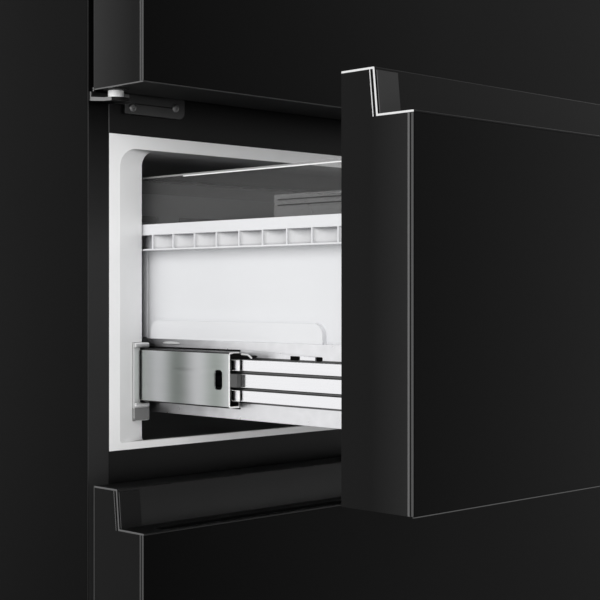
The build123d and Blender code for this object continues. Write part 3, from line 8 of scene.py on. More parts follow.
import bmesh
import bpy
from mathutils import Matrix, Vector

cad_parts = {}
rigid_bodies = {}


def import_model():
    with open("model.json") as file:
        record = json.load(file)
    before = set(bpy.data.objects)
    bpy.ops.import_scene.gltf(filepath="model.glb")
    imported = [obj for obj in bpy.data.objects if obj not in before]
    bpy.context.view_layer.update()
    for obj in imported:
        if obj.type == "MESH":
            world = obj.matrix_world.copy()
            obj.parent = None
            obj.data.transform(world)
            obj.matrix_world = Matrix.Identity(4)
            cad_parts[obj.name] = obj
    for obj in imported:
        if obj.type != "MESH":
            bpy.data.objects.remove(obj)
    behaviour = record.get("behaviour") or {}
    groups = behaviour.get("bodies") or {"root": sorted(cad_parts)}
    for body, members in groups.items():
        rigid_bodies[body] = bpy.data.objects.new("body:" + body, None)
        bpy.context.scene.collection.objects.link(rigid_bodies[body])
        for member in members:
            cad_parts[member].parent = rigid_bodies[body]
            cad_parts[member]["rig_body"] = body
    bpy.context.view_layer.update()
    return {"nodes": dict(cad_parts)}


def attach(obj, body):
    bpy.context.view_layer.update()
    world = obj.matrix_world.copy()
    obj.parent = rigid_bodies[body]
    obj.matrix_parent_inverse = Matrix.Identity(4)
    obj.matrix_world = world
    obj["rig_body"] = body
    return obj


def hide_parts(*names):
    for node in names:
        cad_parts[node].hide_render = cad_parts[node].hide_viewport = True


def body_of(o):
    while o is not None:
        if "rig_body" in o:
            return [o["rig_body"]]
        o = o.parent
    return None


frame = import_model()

log = logging.getLogger("fridge_freezer")

Point = tuple[float, float, float]
Colour = tuple[float, float, float]
Pair = tuple[float, float]
Span = Pair
Box = tuple[Span, Span, Span]
Outline = Sequence[Pair]
Socket = bpy.types.NodeSocket

MILLIMETRE = 0.001
# the span where most of a noise lies, and how many octaves it has where the usual three don't do
NOISE_MIDDLE = (0.3, 0.7)
FEW_OCTAVES = 2.0
MORE_OCTAVES = 4.0
# corners nearer than WELD (metres) are one, and faces within FLAT of each other are joined
WELD = 1e-6
FLAT = math.radians(0.5)
# edges sharper than this many degrees are bevelled, and how much the larger faces weigh in the shading
BEVEL_ANGLE = 30.0
NORMAL_WEIGHT = 80
# a face whose normal has more than this along an axis looks along it
SQUARE_ON = 0.9
CABINET_WIDTH = 700.0
CABINET_DEPTH = 580.0
CABINET_TOP = 1872.0
HALF = CABINET_WIDTH / 2
# how far in from the side plane the skin's edge reaches, and the fine step behind it
SIDE_SKIN = 0.2
SIDE_STEP = 0.6
DOOR_GAP = 8.4
DOOR_REACH = 69.9
MIDDLE_OUT = 265.4
FRONT = (DOOR_REACH + MIDDLE_OUT - CABINET_DEPTH) / 2
# name, stored travel, middle level of its slides, level of the bin's rim, level of the bracket's shelf
DRAWERS = (
    ("middle", MIDDLE_OUT, 494.6, 617.0, 523.8),
    ("lower", 0.0, 141.8, 324.7, 171.0),
)


class Axis(Enum):
    """One of the three directions of the frame."""

    X = 0
    Y = 1
    Z = 2


def metres(point: Sequence[float]) -> Vector:
    """Turn a point in millimetres (x, depth behind the front plane, z) into the scene's metres."""
    x, depth, z = point
    return Vector((x, FRONT + depth, z)) * MILLIMETRE


def place_of_depth(depth: float) -> float:
    """Give the scene's y, in metres, of a depth behind the front plane in millimetres."""
    return metres((0.0, depth, 0.0)).y


def grey(tone: float) -> Colour:
    """Give a neutral colour."""
    return (tone, tone, tone)


class NodeBoard:
    """The node tree of one material, with short calls for the nodes that the finishes share."""

    def __init__(self, name: str) -> None:
        """Open an empty board around a Principled shader.

        Args:
            name: name of the new material.
        """
        self.material = bpy.data.materials.new(name)
        self.material.use_nodes = True
        self.tree = self.material.node_tree
        self.shader = self.tree.nodes["Principled BSDF"]

    def add(self, kind: str, **settings: object) -> bpy.types.Node:
        """Add a node.

        Args:
            kind: the node's type name, without its ShaderNode prefix.
            **settings: attributes to set on it.

        Returns:
            The new node.
        """
        node = self.tree.nodes.new("ShaderNode" + kind)
        for key, value in settings.items():
            setattr(node, key, value)
        return node

    def join(self, source: Socket, target: Socket) -> None:
        """Link two sockets."""
        self.tree.links.new(source, target)

    def place(self, scale: Point = (1.0, 1.0, 1.0)) -> Socket:
        """Give object coordinates, stretched along each axis.

        Args:
            scale: factor along x, y and z.

        Returns:
            The vector socket.
        """
        coordinates = self.add("TexCoord").outputs["Object"]
        if scale == (1.0, 1.0, 1.0):
            return coordinates
        mapping = self.add("Mapping")
        mapping.inputs["Scale"].default_value = scale
        self.join(coordinates, mapping.inputs["Vector"])
        return mapping.outputs["Vector"]

    def texture(self, kind: str, place: Socket, **values: float) -> bpy.types.Node:
        """Add a texture.

        Args:
            kind: the node's type name, without its ShaderNode prefix.
            place: where it is read.
            **values: its other sockets, named with underscores.

        Returns:
            The texture's node.
        """
        node = self.add(kind)
        for key, value in values.items():
            node.inputs[key.replace("_", " ")].default_value = value
        self.join(place, node.inputs["Vector"])
        return node

    def noise(self, scale: float, detail: float = 3.0, stretch: Point = (1.0, 1.0, 1.0)) -> Socket:
        """Add fractal noise over the object.

        Args:
            scale: how fine it is, in cells to the metre.
            detail: number of octaves.
            stretch: factor along each axis before the noise is read.

        Returns:
            The factor socket, 0 to 1.
        """
        return self.texture("TexNoise", self.place(stretch), Scale=scale, Detail=detail).outputs["Fac"]

    def remap(self, value: Socket, low: float, high: float, to_low: float, to_high: float) -> Socket:
        """Map a value from one span to another, held at the ends.

        Args:
            value: the socket to map.
            low: start of the span that comes in.
            high: its end.
            to_low: what low becomes.
            to_high: what high becomes.

        Returns:
            The mapped socket.
        """
        node = self.add("MapRange", clamp=True)
        for name, number in (("From Min", low), ("From Max", high), ("To Min", to_low), ("To Max", to_high)):
            node.inputs[name].default_value = number
        self.join(value, node.inputs["Value"])
        return node.outputs["Result"]

    def along(self, axis: Axis, start: float, end: float) -> Socket:
        """Give a value that runs from 0 to 1 between two places on an axis, in metres.

        Args:
            axis: the axis.
            start: where it is 0.
            end: where it is 1.

        Returns:
            The factor socket.
        """
        split = self.add("SeparateXYZ")
        self.join(self.place(), split.inputs[0])
        return self.remap(split.outputs[axis.value], start, end, 0.0, 1.0)

    def facing(self, axis: Axis, start: float, end: float) -> Socket:
        """Give a value that runs from 0 to 1 as the surface turns towards an axis.

        Args:
            axis: the axis.
            start: the part of the normal along it where the value is 0.
            end: the part where it is 1.

        Returns:
            The factor socket.
        """
        split = self.add("SeparateXYZ")
        self.join(self.add("TexCoord").outputs["Normal"], split.inputs[0])
        return self.remap(split.outputs[axis.value], start, end, 0.0, 1.0)

    def mix(self, factor: Socket, low: Socket | Colour, high: Socket | Colour) -> Socket:
        """Mix two colours, each of them a socket or a plain colour.

        Args:
            factor: how much of the second colour.
            low: the first colour.
            high: the second.

        Returns:
            The colour socket.
        """
        node = self.add("Mix", data_type="RGBA")
        self.join(factor, node.inputs["Factor"])
        for name, colour in (("A", low), ("B", high)):
            if isinstance(colour, tuple):
                node.inputs[name].default_value = (*colour, 1.0)
            else:
                self.join(colour, node.inputs[name])
        return node.outputs[2]

    def paint(self, colour: Socket) -> None:
        """Take the shader's colour from a socket."""
        self.join(colour, self.shader.inputs["Base Color"])

    def roughen(self, value: Socket, low: float, high: float) -> None:
        """Let the roughness wander between two values over the middle of a noise."""
        rough = self.remap(value, *NOISE_MIDDLE, low, high)
        self.join(rough, self.shader.inputs["Roughness"])

    def relief(self, height: Socket, distance: float, strength: float = 1.0) -> None:
        """Press a height into the surface.

        Args:
            height: the height socket.
            distance: depth of the relief in metres.
            strength: share of it that shows.
        """
        bump = self.add("Bump")
        bump.inputs["Strength"].default_value = strength
        bump.inputs["Distance"].default_value = distance
        self.join(height, bump.inputs["Height"])
        self.join(bump.outputs["Normal"], self.shader.inputs["Normal"])

    def set(self, **values: float) -> None:
        """Set the shader's own sockets, named with underscores."""
        for key, value in values.items():
            self.shader.inputs[key.replace("_", " ")].default_value = value


@dataclass(frozen=True)
class Finish:
    """A finish: what the surface is made of and how it is dressed."""

    name: str
    colour: Colour

    def dress(self, board: NodeBoard) -> None:
        """Wire the finish on a board, plain unless a finish says more."""
        board.shader.inputs["Base Color"].default_value = (*self.colour, 1.0)

    def dimmed(self, share: float) -> Colour:
        """Give the colour at a share of its brightness."""
        return tuple(share * c for c in self.colour)

    def material(self) -> bpy.types.Material:
        """Give the material, made once.

        Returns:
            The material of this finish.
        """
        known = bpy.data.materials.get(self.name)
        if known is not None and known.get("finish"):
            return known
        board = NodeBoard(self.name)
        self.dress(board)
        board.material["finish"] = True
        return board.material


@dataclass(frozen=True)
class SatinPaint(Finish):
    """Dark powder paint: a faint grain, a soft gloss, and a painted sheen that lightens the colour towards
    one end of an axis where one is given.
    """

    roughness: float = 0.38
    wander: float = 0.03
    ior: float = 1.16
    cloud: float = 6.0
    grain: float = 900.0
    grain_height: float = 0.00002
    grain_share: float = 0.5
    # painted sheen: colour added along one axis, standing for light falling on the surface
    sheen: Colour = (0.0, 0.0, 0.0)
    sheen_axis: Axis = Axis.Y
    sheen_from: float = 0.0
    sheen_to: float = 1.0

    def dress(self, board: NodeBoard) -> None:
        """Wire the paint."""
        board.set(IOR=self.ior)
        cloud = board.noise(self.cloud, MORE_OCTAVES)
        board.roughen(cloud, self.roughness - self.wander, self.roughness + self.wander)
        # the colour at the full painted sheen
        high = tuple(c + d for c, d in zip(self.colour, self.sheen))
        fade = board.along(self.sheen_axis, self.sheen_from, self.sheen_to)
        board.paint(board.mix(fade, self.colour, high))
        board.relief(board.noise(self.grain, FEW_OCTAVES), self.grain_height, self.grain_share)


@dataclass(frozen=True)
class MouldedPlastic(Finish):
    """Moulded plastic: fine eggshell texture and slightly uneven tone."""

    roughness: float = 0.42
    wander: float = 0.04
    ior: float = 1.48
    cloud: float = 9.0
    dim: float = 0.97
    texture: float = 1400.0
    texture_height: float = 0.00002
    texture_share: float = 0.4

    def dress(self, board: NodeBoard) -> None:
        """Wire the plastic."""
        board.set(IOR=self.ior)
        cloud = board.noise(self.cloud)
        board.paint(board.mix(cloud, self.dimmed(self.dim), self.colour))
        board.roughen(cloud, self.roughness - self.wander, self.roughness + self.wander)
        board.relief(board.noise(self.texture, FEW_OCTAVES), self.texture_height, self.texture_share)


@dataclass(frozen=True)
class ShadedLiner(Finish):
    """Liner plastic, white round the mouth, with painted shade in its colour: dim inside where light hardly
    reaches, with a dark band on the floor just inside the mouth and a dimmer ceiling.
    """

    deep_shade: Colour = (0.1, 0.1, 0.1)
    walls: Span = (12.0, 90.0)
    floor: Span = (3.0, 6.0)
    threshold_shade: Colour = (0.018, 0.018, 0.018)
    inner_floor: Span = (25.0, 90.0)
    ceiling: Span = (22.0, 80.0)
    ceiling_shade_share: float = 0.45
    level: Span = (0.4, 0.85)
    roughness: float = 0.4
    wander: float = 0.04
    cloud: float = 8.0
    texture: float = 1200.0
    texture_height: float = 0.00002
    texture_share: float = 0.4

    def dress(self, board: NodeBoard) -> None:
        """Wire the liner: walls, floor and ceiling each go dim at their own depth, as painted shade."""
        walls = board.mix(self.fade(board, self.walls), self.colour, self.deep_shade)
        inner = board.mix(self.fade(board, self.inner_floor), self.threshold_shade, self.deep_shade)
        floor = board.mix(self.fade(board, self.floor), walls, inner)
        ceiling = board.mix(self.fade(board, self.ceiling), self.dimmed(self.ceiling_shade_share), self.deep_shade)
        start, end = self.level
        colour = board.mix(board.facing(Axis.Z, start, end), walls, floor)
        board.paint(board.mix(board.facing(Axis.Z, -start, -end), colour, ceiling))
        board.roughen(board.noise(self.cloud), self.roughness - self.wander, self.roughness + self.wander)
        board.relief(board.noise(self.texture, FEW_OCTAVES), self.texture_height, self.texture_share)

    @staticmethod
    def fade(board: NodeBoard, depths: Span) -> Socket:
        """Give a value that runs from 0 to 1 between two depths in millimetres."""
        start, end = (place_of_depth(depth) for depth in depths)
        return board.along(Axis.Y, start, end)


@dataclass(frozen=True)
class SheetSteel(Finish):
    """Drawn or brushed steel: metal with fine streaks along one axis."""

    roughness: float = 0.3
    smoother: float = 0.05
    rougher: float = 0.07
    streak: Point = (400.0, 6.0, 400.0)
    depth: float = 0.000015
    depth_share: float = 0.5
    contrast: float = 0.12

    def dress(self, board: NodeBoard) -> None:
        """Wire the steel."""
        board.set(Metallic=1.0)
        lines = board.noise(1.0, MORE_OCTAVES, self.streak)
        board.paint(board.mix(lines, self.dimmed(1.0 - self.contrast), self.colour))
        board.roughen(lines, self.roughness - self.smoother, self.roughness + self.rougher)
        board.relief(lines, self.depth, self.depth_share)


@dataclass(frozen=True)
class ReflectionBandedSteel(SheetSteel):
    """Bright steel with painted reflections: broad soft bands across its length, darker and a little green.
    """

    dark: Colour = (0.3, 0.33, 0.31)
    wave: float = 20.0
    phase: float = 0.0
    distortion: float = 1.2

    def dress(self, board: NodeBoard) -> None:
        """Wire the steel and lay the painted reflection bands over it."""
        super().dress(board)
        place = board.place((0.0, 1.0, 0.0))
        bands = board.texture(
            "TexWave", place, Scale=self.wave, Phase_Offset=self.phase, Distortion=self.distortion, Detail=1.0
        )
        bands.bands_direction = "Y"
        bands.wave_profile = "SIN"
        board.paint(board.mix(bands.outputs["Fac"], self.dark, self.colour))


@dataclass(frozen=True)
class Spangled(Finish):
    """Zinc-coated sheet with its flat crystals, and painted shade that darkens it towards one end if a shade
    is given.
    """

    roughness: float = 0.45
    wander: float = 0.1
    crystals: float = 90.0
    crystal_reach: float = 0.9
    dim: float = 0.82
    shade: float = 1.0
    shade_from: float = 0.0
    shade_to: float = 1.0

    def dress(self, board: NodeBoard) -> None:
        """Wire the zinc."""
        board.set(Metallic=1.0)
        cells = board.texture("TexVoronoi", board.place(), Scale=self.crystals)
        tone = board.remap(cells.outputs["Distance"], 0.0, self.crystal_reach, 0.0, 1.0)
        low = self.dimmed(self.dim)
        unshaded = board.mix(tone, low, self.colour)
        # painted shade: the same crystals at a share of their brightness
        shaded = board.mix(tone, tuple(self.shade * c for c in low), self.dimmed(self.shade))
        fade = board.along(Axis.Y, self.shade_from, self.shade_to)
        board.paint(board.mix(fade, unshaded, shaded))
        rough = board.remap(tone, 0.0, 1.0, self.roughness - self.wander, self.roughness + self.wander)
        board.join(rough, board.shader.inputs["Roughness"])


@dataclass(frozen=True)
class Clear(Finish):
    """Clear plastic or glass."""

    roughness: float = 0.04
    wander: float = 0.03
    ior: float = 1.35
    cloud: float = 20.0
    dim: float = 0.96

    def dress(self, board: NodeBoard) -> None:
        """Wire the clear body."""
        board.set(IOR=self.ior, Transmission_Weight=1.0)
        cloud = board.noise(self.cloud, FEW_OCTAVES)
        board.paint(board.mix(cloud, self.dimmed(self.dim), self.colour))
        board.roughen(cloud, self.roughness, self.roughness + self.wander)


@dataclass(frozen=True)
class Haze(Finish):
    """Thin smoky plastic that mostly lets through what is behind it."""

    cover: float = 0.1
    roughness: float = 0.2
    wander: float = 0.08
    ior: float = 1.3
    cloud: float = 14.0
    stretch: Point = (1.0, 1.0, 5.0)
    dim: float = 0.85

    def dress(self, board: NodeBoard) -> None:
        """Wire the haze."""
        board.set(IOR=self.ior, Alpha=self.cover)
        cloud = board.noise(self.cloud, stretch=self.stretch)
        board.paint(board.mix(cloud, self.dimmed(self.dim), self.colour))
        board.roughen(cloud, self.roughness, self.roughness + self.wander)


@dataclass(frozen=True)
class Foam(Finish):
    """Poured foam: open cells and a pale yellow that darkens in patches."""

    roughness: float = 0.9
    cloud: float = 14.0
    dim: float = 0.8
    cells: float = 700.0
    cell_height: float = 0.0004
    cell_share: float = 0.6

    def dress(self, board: NodeBoard) -> None:
        """Wire the foam."""
        board.set(Roughness=self.roughness)
        board.paint(board.mix(board.noise(self.cloud, MORE_OCTAVES), self.dimmed(self.dim), self.colour))
        cells = board.texture("TexVoronoi", board.place(), Scale=self.cells)
        board.relief(cells.outputs["Distance"], self.cell_height, self.cell_share)


# the tint of the painted reflection bands on the slides
REFLECTED_GREEN = (0.37, 0.4, 0.38)
HINGE_STREAK = (30.0, 400.0, 400.0)
BLACK_SHELL = SatinPaint("black_shell_paint", grey(0.001), ior=1.122)
# a lit copy of the cabinet's black for the crossbars, brighter and glossier to stand for light on them:
# painted light
CROSSBAR = SatinPaint("black_crossbar_paint_lit", grey(0.004), ior=1.25)
# a lit copy of the cabinet's black, laid over the front flanges, with painted sheen growing lighter downwards
# from 0.7 m to 0.59 m
FLANGE = SatinPaint(
    "black_flange_paint_sheen",
    grey(0.002),
    ior=1.16,
    sheen=grey(0.024),
    sheen_axis=Axis.Z,
    sheen_from=0.7,
    sheen_to=0.59,
)
# the fronts' black, with painted sheen growing lighter from the cabinet's left side in to its middle
BLACK_PANEL = SatinPaint(
    "black_panel_paint",
    grey(0.0004),
    roughness=0.3,
    ior=1.12,
    sheen=grey(0.0045),
    sheen_axis=Axis.X,
    sheen_from=-0.35,
    sheen_to=0.0,
)
# the fridge door's body black, with painted sheen growing lighter towards the back of its sides
FRIDGE_DOOR_BODY = SatinPaint(
    "fridge_door_body_black",
    grey(0.004),
    roughness=0.45,
    sheen=grey(0.016),
    sheen_from=place_of_depth(-58.0),
    sheen_to=place_of_depth(-8.4),
)
# the middle drawer's body black, with painted sheen growing lighter towards the front of its sides
MIDDLE_BODY = SatinPaint(
    "middle_drawer_body_black",
    grey(0.005),
    roughness=0.45,
    sheen=grey(0.009),
    sheen_from=place_of_depth(-300.0),
    sheen_to=place_of_depth(-330.0),
)
LOWER_BODY = SatinPaint("lower_drawer_body_black", grey(0.004), roughness=0.45)
# one handle black for both drawers; the lower copy is glossier and lighter, standing for the light it
# catches: painted light
MIDDLE_HANDLE = SatinPaint("middle_handle_black", grey(0.002), roughness=0.3, ior=1.16)
LOWER_HANDLE = SatinPaint("lower_handle_black_lit", grey(0.003), roughness=0.3, ior=1.33)
# one cap plastic for both drawers; the lower copy is darker, standing for the shade on it: painted shade
MIDDLE_CAP = SatinPaint("middle_cap_grey", grey(0.03), roughness=0.4)
LOWER_CAP = SatinPaint("lower_cap_shaded", grey(0.008), roughness=0.4, ior=1.19)
# bright and dim steel painted on cut ends, edges, steps, beads and hooks as highlights; the dim one is also
# the lower drawer's copy for its cut ends
BRIGHT_EDGE_HIGHLIGHT = SheetSteel("bright_edge_highlight", grey(0.9), roughness=0.3)
DIM_EDGE_HIGHLIGHT = SheetSteel("dim_edge_highlight", grey(0.17), roughness=0.35)
# grey steel painted on fine edges as a highlight, and on the bright bracket as painted shadow lines
EDGE_GLINT_AND_SHADOW_LINE = SheetSteel("edge_glint_and_shadow_line", grey(0.11), roughness=0.4)
FAINT_GLINT = SheetSteel("faint_edge_glint", grey(0.05), roughness=0.4)
WHITE_LINER = MouldedPlastic("white_liner", grey(0.8))
# the middle liner's white, with painted shade inside it
MIDDLE_LINER = ShadedLiner("middle_liner_white_shaded", grey(0.92), deep_shade=grey(0.14))
BIN_WHITE = MouldedPlastic("bin_white_plastic", (0.725, 0.73, 0.745), roughness=0.36)
INNER_WHITE = MouldedPlastic("inner_white_plastic", (0.75, 0.76, 0.77))
RAIL = SheetSteel("rail_steel_drawn", grey(0.9), roughness=0.42, contrast=0.04)
FOOT_GREY = MouldedPlastic("rail_foot_grey", grey(0.17), roughness=0.6)
SLIDE = ReflectionBandedSteel("slide_steel_painted_reflections", (0.72, 0.73, 0.74), roughness=0.34, dark=REFLECTED_GREEN, wave=6.4, phase=2.3)
SLIDE_BEND = SheetSteel("slide_bend_shade", grey(0.05), roughness=0.3)
STOP_GREY = MouldedPlastic("slide_stop_grey", grey(0.09), roughness=0.6, ior=1.2)
ROD = SheetSteel("runner_rod_steel", grey(0.13), roughness=0.3)
# near-white plastic painted on edges and ends as a highlight
WHITE_EDGE_HIGHLIGHT = MouldedPlastic("white_edge_highlight", grey(0.95), roughness=0.3)
SHADED_RIM_CELL = MouldedPlastic("bin_rim_cell_shaded_white", (0.6, 0.6, 0.61), roughness=0.45)
# near-black paint laid in slits, grooves, creases and mouths as painted shade
PAINTED_SHADE_LINE = SatinPaint("painted_shade_line", grey(0.008), roughness=0.5, ior=1.1)
BRIGHT = SheetSteel("bright_slide_steel", (0.93, 0.93, 0.95), roughness=0.16)
# the bracket's zinc, darker towards the back with painted shade where it runs into the cabinet
BRACKET = Spangled(
    "bracket_zinc_sheet",
    (0.93, 0.93, 0.95),
    roughness=0.35,
    shade=0.36,
    shade_from=place_of_depth(-70.0),
    shade_to=place_of_depth(-8.0),
)
HINGE_DARK = SheetSteel("hinge_dark_steel", grey(0.02), roughness=0.4, streak=HINGE_STREAK)
HINGE_PLATE = SheetSteel("hinge_plate_steel", grey(0.085), roughness=0.4, streak=HINGE_STREAK)
HINGE_GREY = SheetSteel("hinge_grey_steel", grey(0.28), roughness=0.35)
COLLAR_WHITE = MouldedPlastic("hinge_collar_white", grey(0.95), roughness=0.3)
ZINC = Spangled("zinc_sheet", (0.55, 0.56, 0.58))
FIN = SheetSteel("aluminium_fins", (0.75, 0.76, 0.77), roughness=0.35)
SEAL = MouldedPlastic("seal_rubber", (0.1, 0.1, 0.102), roughness=0.75)
DAMPER = MouldedPlastic("slide_damper_rubber", grey(0.002), roughness=0.6, ior=1.1)
BLACK_PLASTIC = MouldedPlastic("black_plastic_moulded", grey(0.012), roughness=0.5)
BLACK_POT = SatinPaint("black_pot_enamel", grey(0.006), roughness=0.22, ior=1.45)
BUSH = MouldedPlastic("bush_dark_plastic", grey(0.008), roughness=0.6)
TRAY_HAZE = Haze("smoky_tray_plastic", grey(0.36), cover=0.1)
TRAY_GRIP = Haze("tray_grip_plastic", grey(0.45), cover=0.2)
TRAY_LIP = Haze("tray_lip_plastic", grey(0.4), cover=0.8, roughness=0.12)
# painted shade for the tray's dark lines
TRAY_SHADE_LINE = Haze("tray_seam_shade", grey(0.004), cover=0.8, roughness=0.4)
SMOKED = Clear("smoked_tray_plastic", (0.75, 0.76, 0.77), roughness=0.05)
CLEAR_BIN = Clear("clear_bin_plastic", (0.9, 0.92, 0.93), roughness=0.04)
GLASS = Clear("shelf_glass", (0.86, 0.95, 0.92), roughness=0.02, ior=1.45)
LENS = Clear("lamp_lens", (0.93, 0.93, 0.9), roughness=0.35)
FOAM = Foam("poured_foam", (0.75, 0.66, 0.4))

NODE_FINISHES: dict[str, Finish] = {
    "outer_shell": BLACK_SHELL,
    "crossbars": CROSSBAR,
    "kick_plate": BLACK_SHELL,
    "hinge_cover": BLACK_PLASTIC,
    "back_panel": ZINC,
    "base_pan": ZINC,
    "machine_cover": ZINC,
    "insulation_foam": FOAM,
    "fridge_liner": WHITE_LINER,
    "middle_liner": MIDDLE_LINER,
    "lower_liner": WHITE_LINER,
    "top_hinge": HINGE_GREY,
    "middle_hinge": HINGE_DARK,
    "front_foot_left": BLACK_PLASTIC,
    "front_foot_right": BLACK_PLASTIC,
    "rear_roller_left": BLACK_PLASTIC,
    "rear_roller_right": BLACK_PLASTIC,
    "compressor": BLACK_POT,
    "condenser": ZINC,
    "fan_motor": BLACK_PLASTIC,
    "condenser_fan": BLACK_PLASTIC,
    "drip_tray": BLACK_PLASTIC,
    "evaporator": FIN,
    "evaporator_cover": INNER_WHITE,
    "air_duct": INNER_WHITE,
    "light_strip": LENS,
    "glass_shelves": GLASS,
    "shelf_trims": INNER_WHITE,
    "crisper_left": CLEAR_BIN,
    "crisper_right": CLEAR_BIN,
    "fridge_door_core": FRIDGE_DOOR_BODY,
    "fridge_door_panel": BLACK_PANEL,
    "fridge_door_liner": INNER_WHITE,
    "fridge_door_gasket": SEAL,
    "fridge_door_bushes": BUSH,
    "fridge_door_bins": CLEAR_BIN,
}
DRAWER_FINISHES: dict[str, Finish] = {
    "fixed_rails": RAIL,
    "slides": SLIDE,
    "runners": BRIGHT,
    "drawer_brackets": BRACKET,
    "drawer_core": LOWER_BODY,
    "drawer_panel": BLACK_PANEL,
    "drawer_handle": LOWER_HANDLE,
    "handle_caps": LOWER_CAP,
    "drawer_gasket": SEAL,
    "drawer_liner": INNER_WHITE,
    "drawer_bin": BIN_WHITE,
    "drawer_tray": SMOKED,
}


@dataclass
class Studio:
    """Camera, soft light, pale floor and pale world."""

    eye: Point = (-1.0071, -1.02235, 0.560)
    yaw: float = -44.7
    lens: float = 84.45
    shift_y: float = -0.0095
    world_strength: float = 0.55
    floor_reach: float = 30.0
    floor_cloud: float = 3.0
    floor_tones: tuple[Colour, Colour] = (grey(0.78), grey(0.8))
    floor_fade: Span = (1.6, 3.6)

    def camera(self) -> None:
        """Stand the camera where the photograph was taken from."""
        data = bpy.data.cameras.new("camera")
        data.sensor_width = 36.0
        data.lens = self.lens
        data.shift_y = self.shift_y
        data.clip_start = 0.01
        data.clip_end = 50.0
        camera = bpy.data.objects.new("camera", data)
        camera.location = self.eye
        camera.rotation_euler = (math.pi / 2, 0.0, math.radians(self.yaw))
        bpy.context.scene.collection.objects.link(camera)
        bpy.context.scene.camera = camera

    def world(self) -> None:
        """Make a world that lights softly and looks white to the eye and in reflections."""
        world = bpy.data.worlds.new("studio_world")
        world.use_nodes = True
        tree = world.node_tree
        background = tree.nodes["Background"]
        background.inputs["Color"].default_value = (1.0, 1.0, 1.0, 1.0)
        background.inputs["Strength"].default_value = self.world_strength
        seen = tree.nodes.new("ShaderNodeBackground")
        seen.inputs["Color"].default_value = (1.0, 1.0, 1.0, 1.0)
        seen.inputs["Strength"].default_value = 1.0
        mix = tree.nodes.new("ShaderNodeMixShader")
        tree.links.new(self.seen_ray(tree), mix.inputs[0])
        tree.links.new(background.outputs[0], mix.inputs[1])
        tree.links.new(seen.outputs[0], mix.inputs[2])
        tree.links.new(mix.outputs[0], tree.nodes["World Output"].inputs["Surface"])
        bpy.context.scene.world = world

    @staticmethod
    def seen_ray(tree: bpy.types.NodeTree) -> Socket:
        """Tell the rays that look at the background, straight, mirrored or through glass.

        Args:
            tree: the node tree to add to.

        Returns:
            A socket that is 1 for such a ray.
        """
        path = tree.nodes.new("ShaderNodeLightPath")
        seen = path.outputs["Is Camera Ray"]
        for kind in ("Is Glossy Ray", "Is Transmission Ray"):
            either = tree.nodes.new("ShaderNodeMath")
            either.operation = "MAXIMUM"
            tree.links.new(seen, either.inputs[0])
            tree.links.new(path.outputs[kind], either.inputs[1])
            seen = either.outputs[0]
        return seen

    def lamp(self, name: str, place: Point, aim: Point, size: float, power: float) -> None:
        """Hang one soft lamp.

        Args:
            name: its name.
            place: where it hangs, in metres.
            aim: what it points at.
            size: side of its square face, in metres.
            power: its power in watts.
        """
        data = bpy.data.lights.new(name, "AREA")
        data.shape = "SQUARE"
        data.size = size
        data.energy = power
        lamp = bpy.data.objects.new(name, data)
        lamp.location = place
        lamp.rotation_euler = (Vector(aim) - Vector(place)).to_track_quat("-Z", "Y").to_euler()
        lamp.visible_glossy = False
        bpy.context.scene.collection.objects.link(lamp)

    def floor(self) -> None:
        """Lay a large pale floor, which turns into the white background a few metres off."""
        mesh = bpy.data.meshes.new("floor")
        square = ((-1, -1), (1, -1), (1, 1), (-1, 1))
        corners = [(x * self.floor_reach, y * self.floor_reach, 0.0) for x, y in square]
        mesh.from_pydata(corners, [], [(0, 1, 2, 3)])
        floor = bpy.data.objects.new("floor", mesh)
        bpy.context.scene.collection.objects.link(floor)
        board = NodeBoard("pale_floor")
        board.set(Roughness=0.8, IOR=1.2)
        board.paint(board.mix(board.noise(self.floor_cloud), *self.floor_tones))
        distance = board.add("VectorMath", operation="LENGTH")
        board.join(board.place(), distance.inputs[0])
        away = board.remap(distance.outputs["Value"], *self.floor_fade, 0.0, 1.0)
        factor = board.add("Math", operation="MULTIPLY")
        board.join(away, factor.inputs[0])
        board.join(self.seen_ray(board.tree), factor.inputs[1])
        white = board.add("Emission")
        mix = board.add("MixShader")
        board.join(factor.outputs[0], mix.inputs[0])
        board.join(board.shader.outputs[0], mix.inputs[1])
        board.join(white.outputs[0], mix.inputs[2])
        board.join(mix.outputs[0], board.tree.nodes["Material Output"].inputs["Surface"])
        mesh.materials.append(board.material)

    def build(self) -> None:
        """Set the whole studio."""
        self.camera()
        self.world()
        self.floor()
        self.lamp("key_lamp", place=(-3.4, -1.8, 2.0), aim=(0.0, 0.0, 0.7), size=2.6, power=105.0)
        self.lamp("fill_lamp", place=(2.8, -2.4, 2.0), aim=(0.0, 0.0, 0.8), size=2.4, power=40.0)
        view = bpy.context.scene.view_settings
        view.view_transform = "Standard"
        log.info("studio set")


def body_of_node(node: str) -> str:
    """Name the body that a CAD node rides on."""
    return body_of(frame["nodes"][node])[0]


def link_piece(name: str, mesh: bpy.types.Mesh, finish: Finish, body: str, slot: str) -> bpy.types.Object:
    """Put a new mesh in the scene as a dressed piece.

    Args:
        name: the piece's name.
        mesh: its mesh, in metres in the frame.
        finish: its finish.
        body: the body that it rides on.
        slot: the record's material slot, not used.

    Returns:
        The new object.
    """
    piece = bpy.data.objects.new(name, mesh)
    bpy.context.scene.collection.objects.link(piece)
    mesh.materials.clear()
    mesh.materials.append(finish.material())
    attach(piece, body)
    log.info("piece %s on %s", name, body)
    return piece


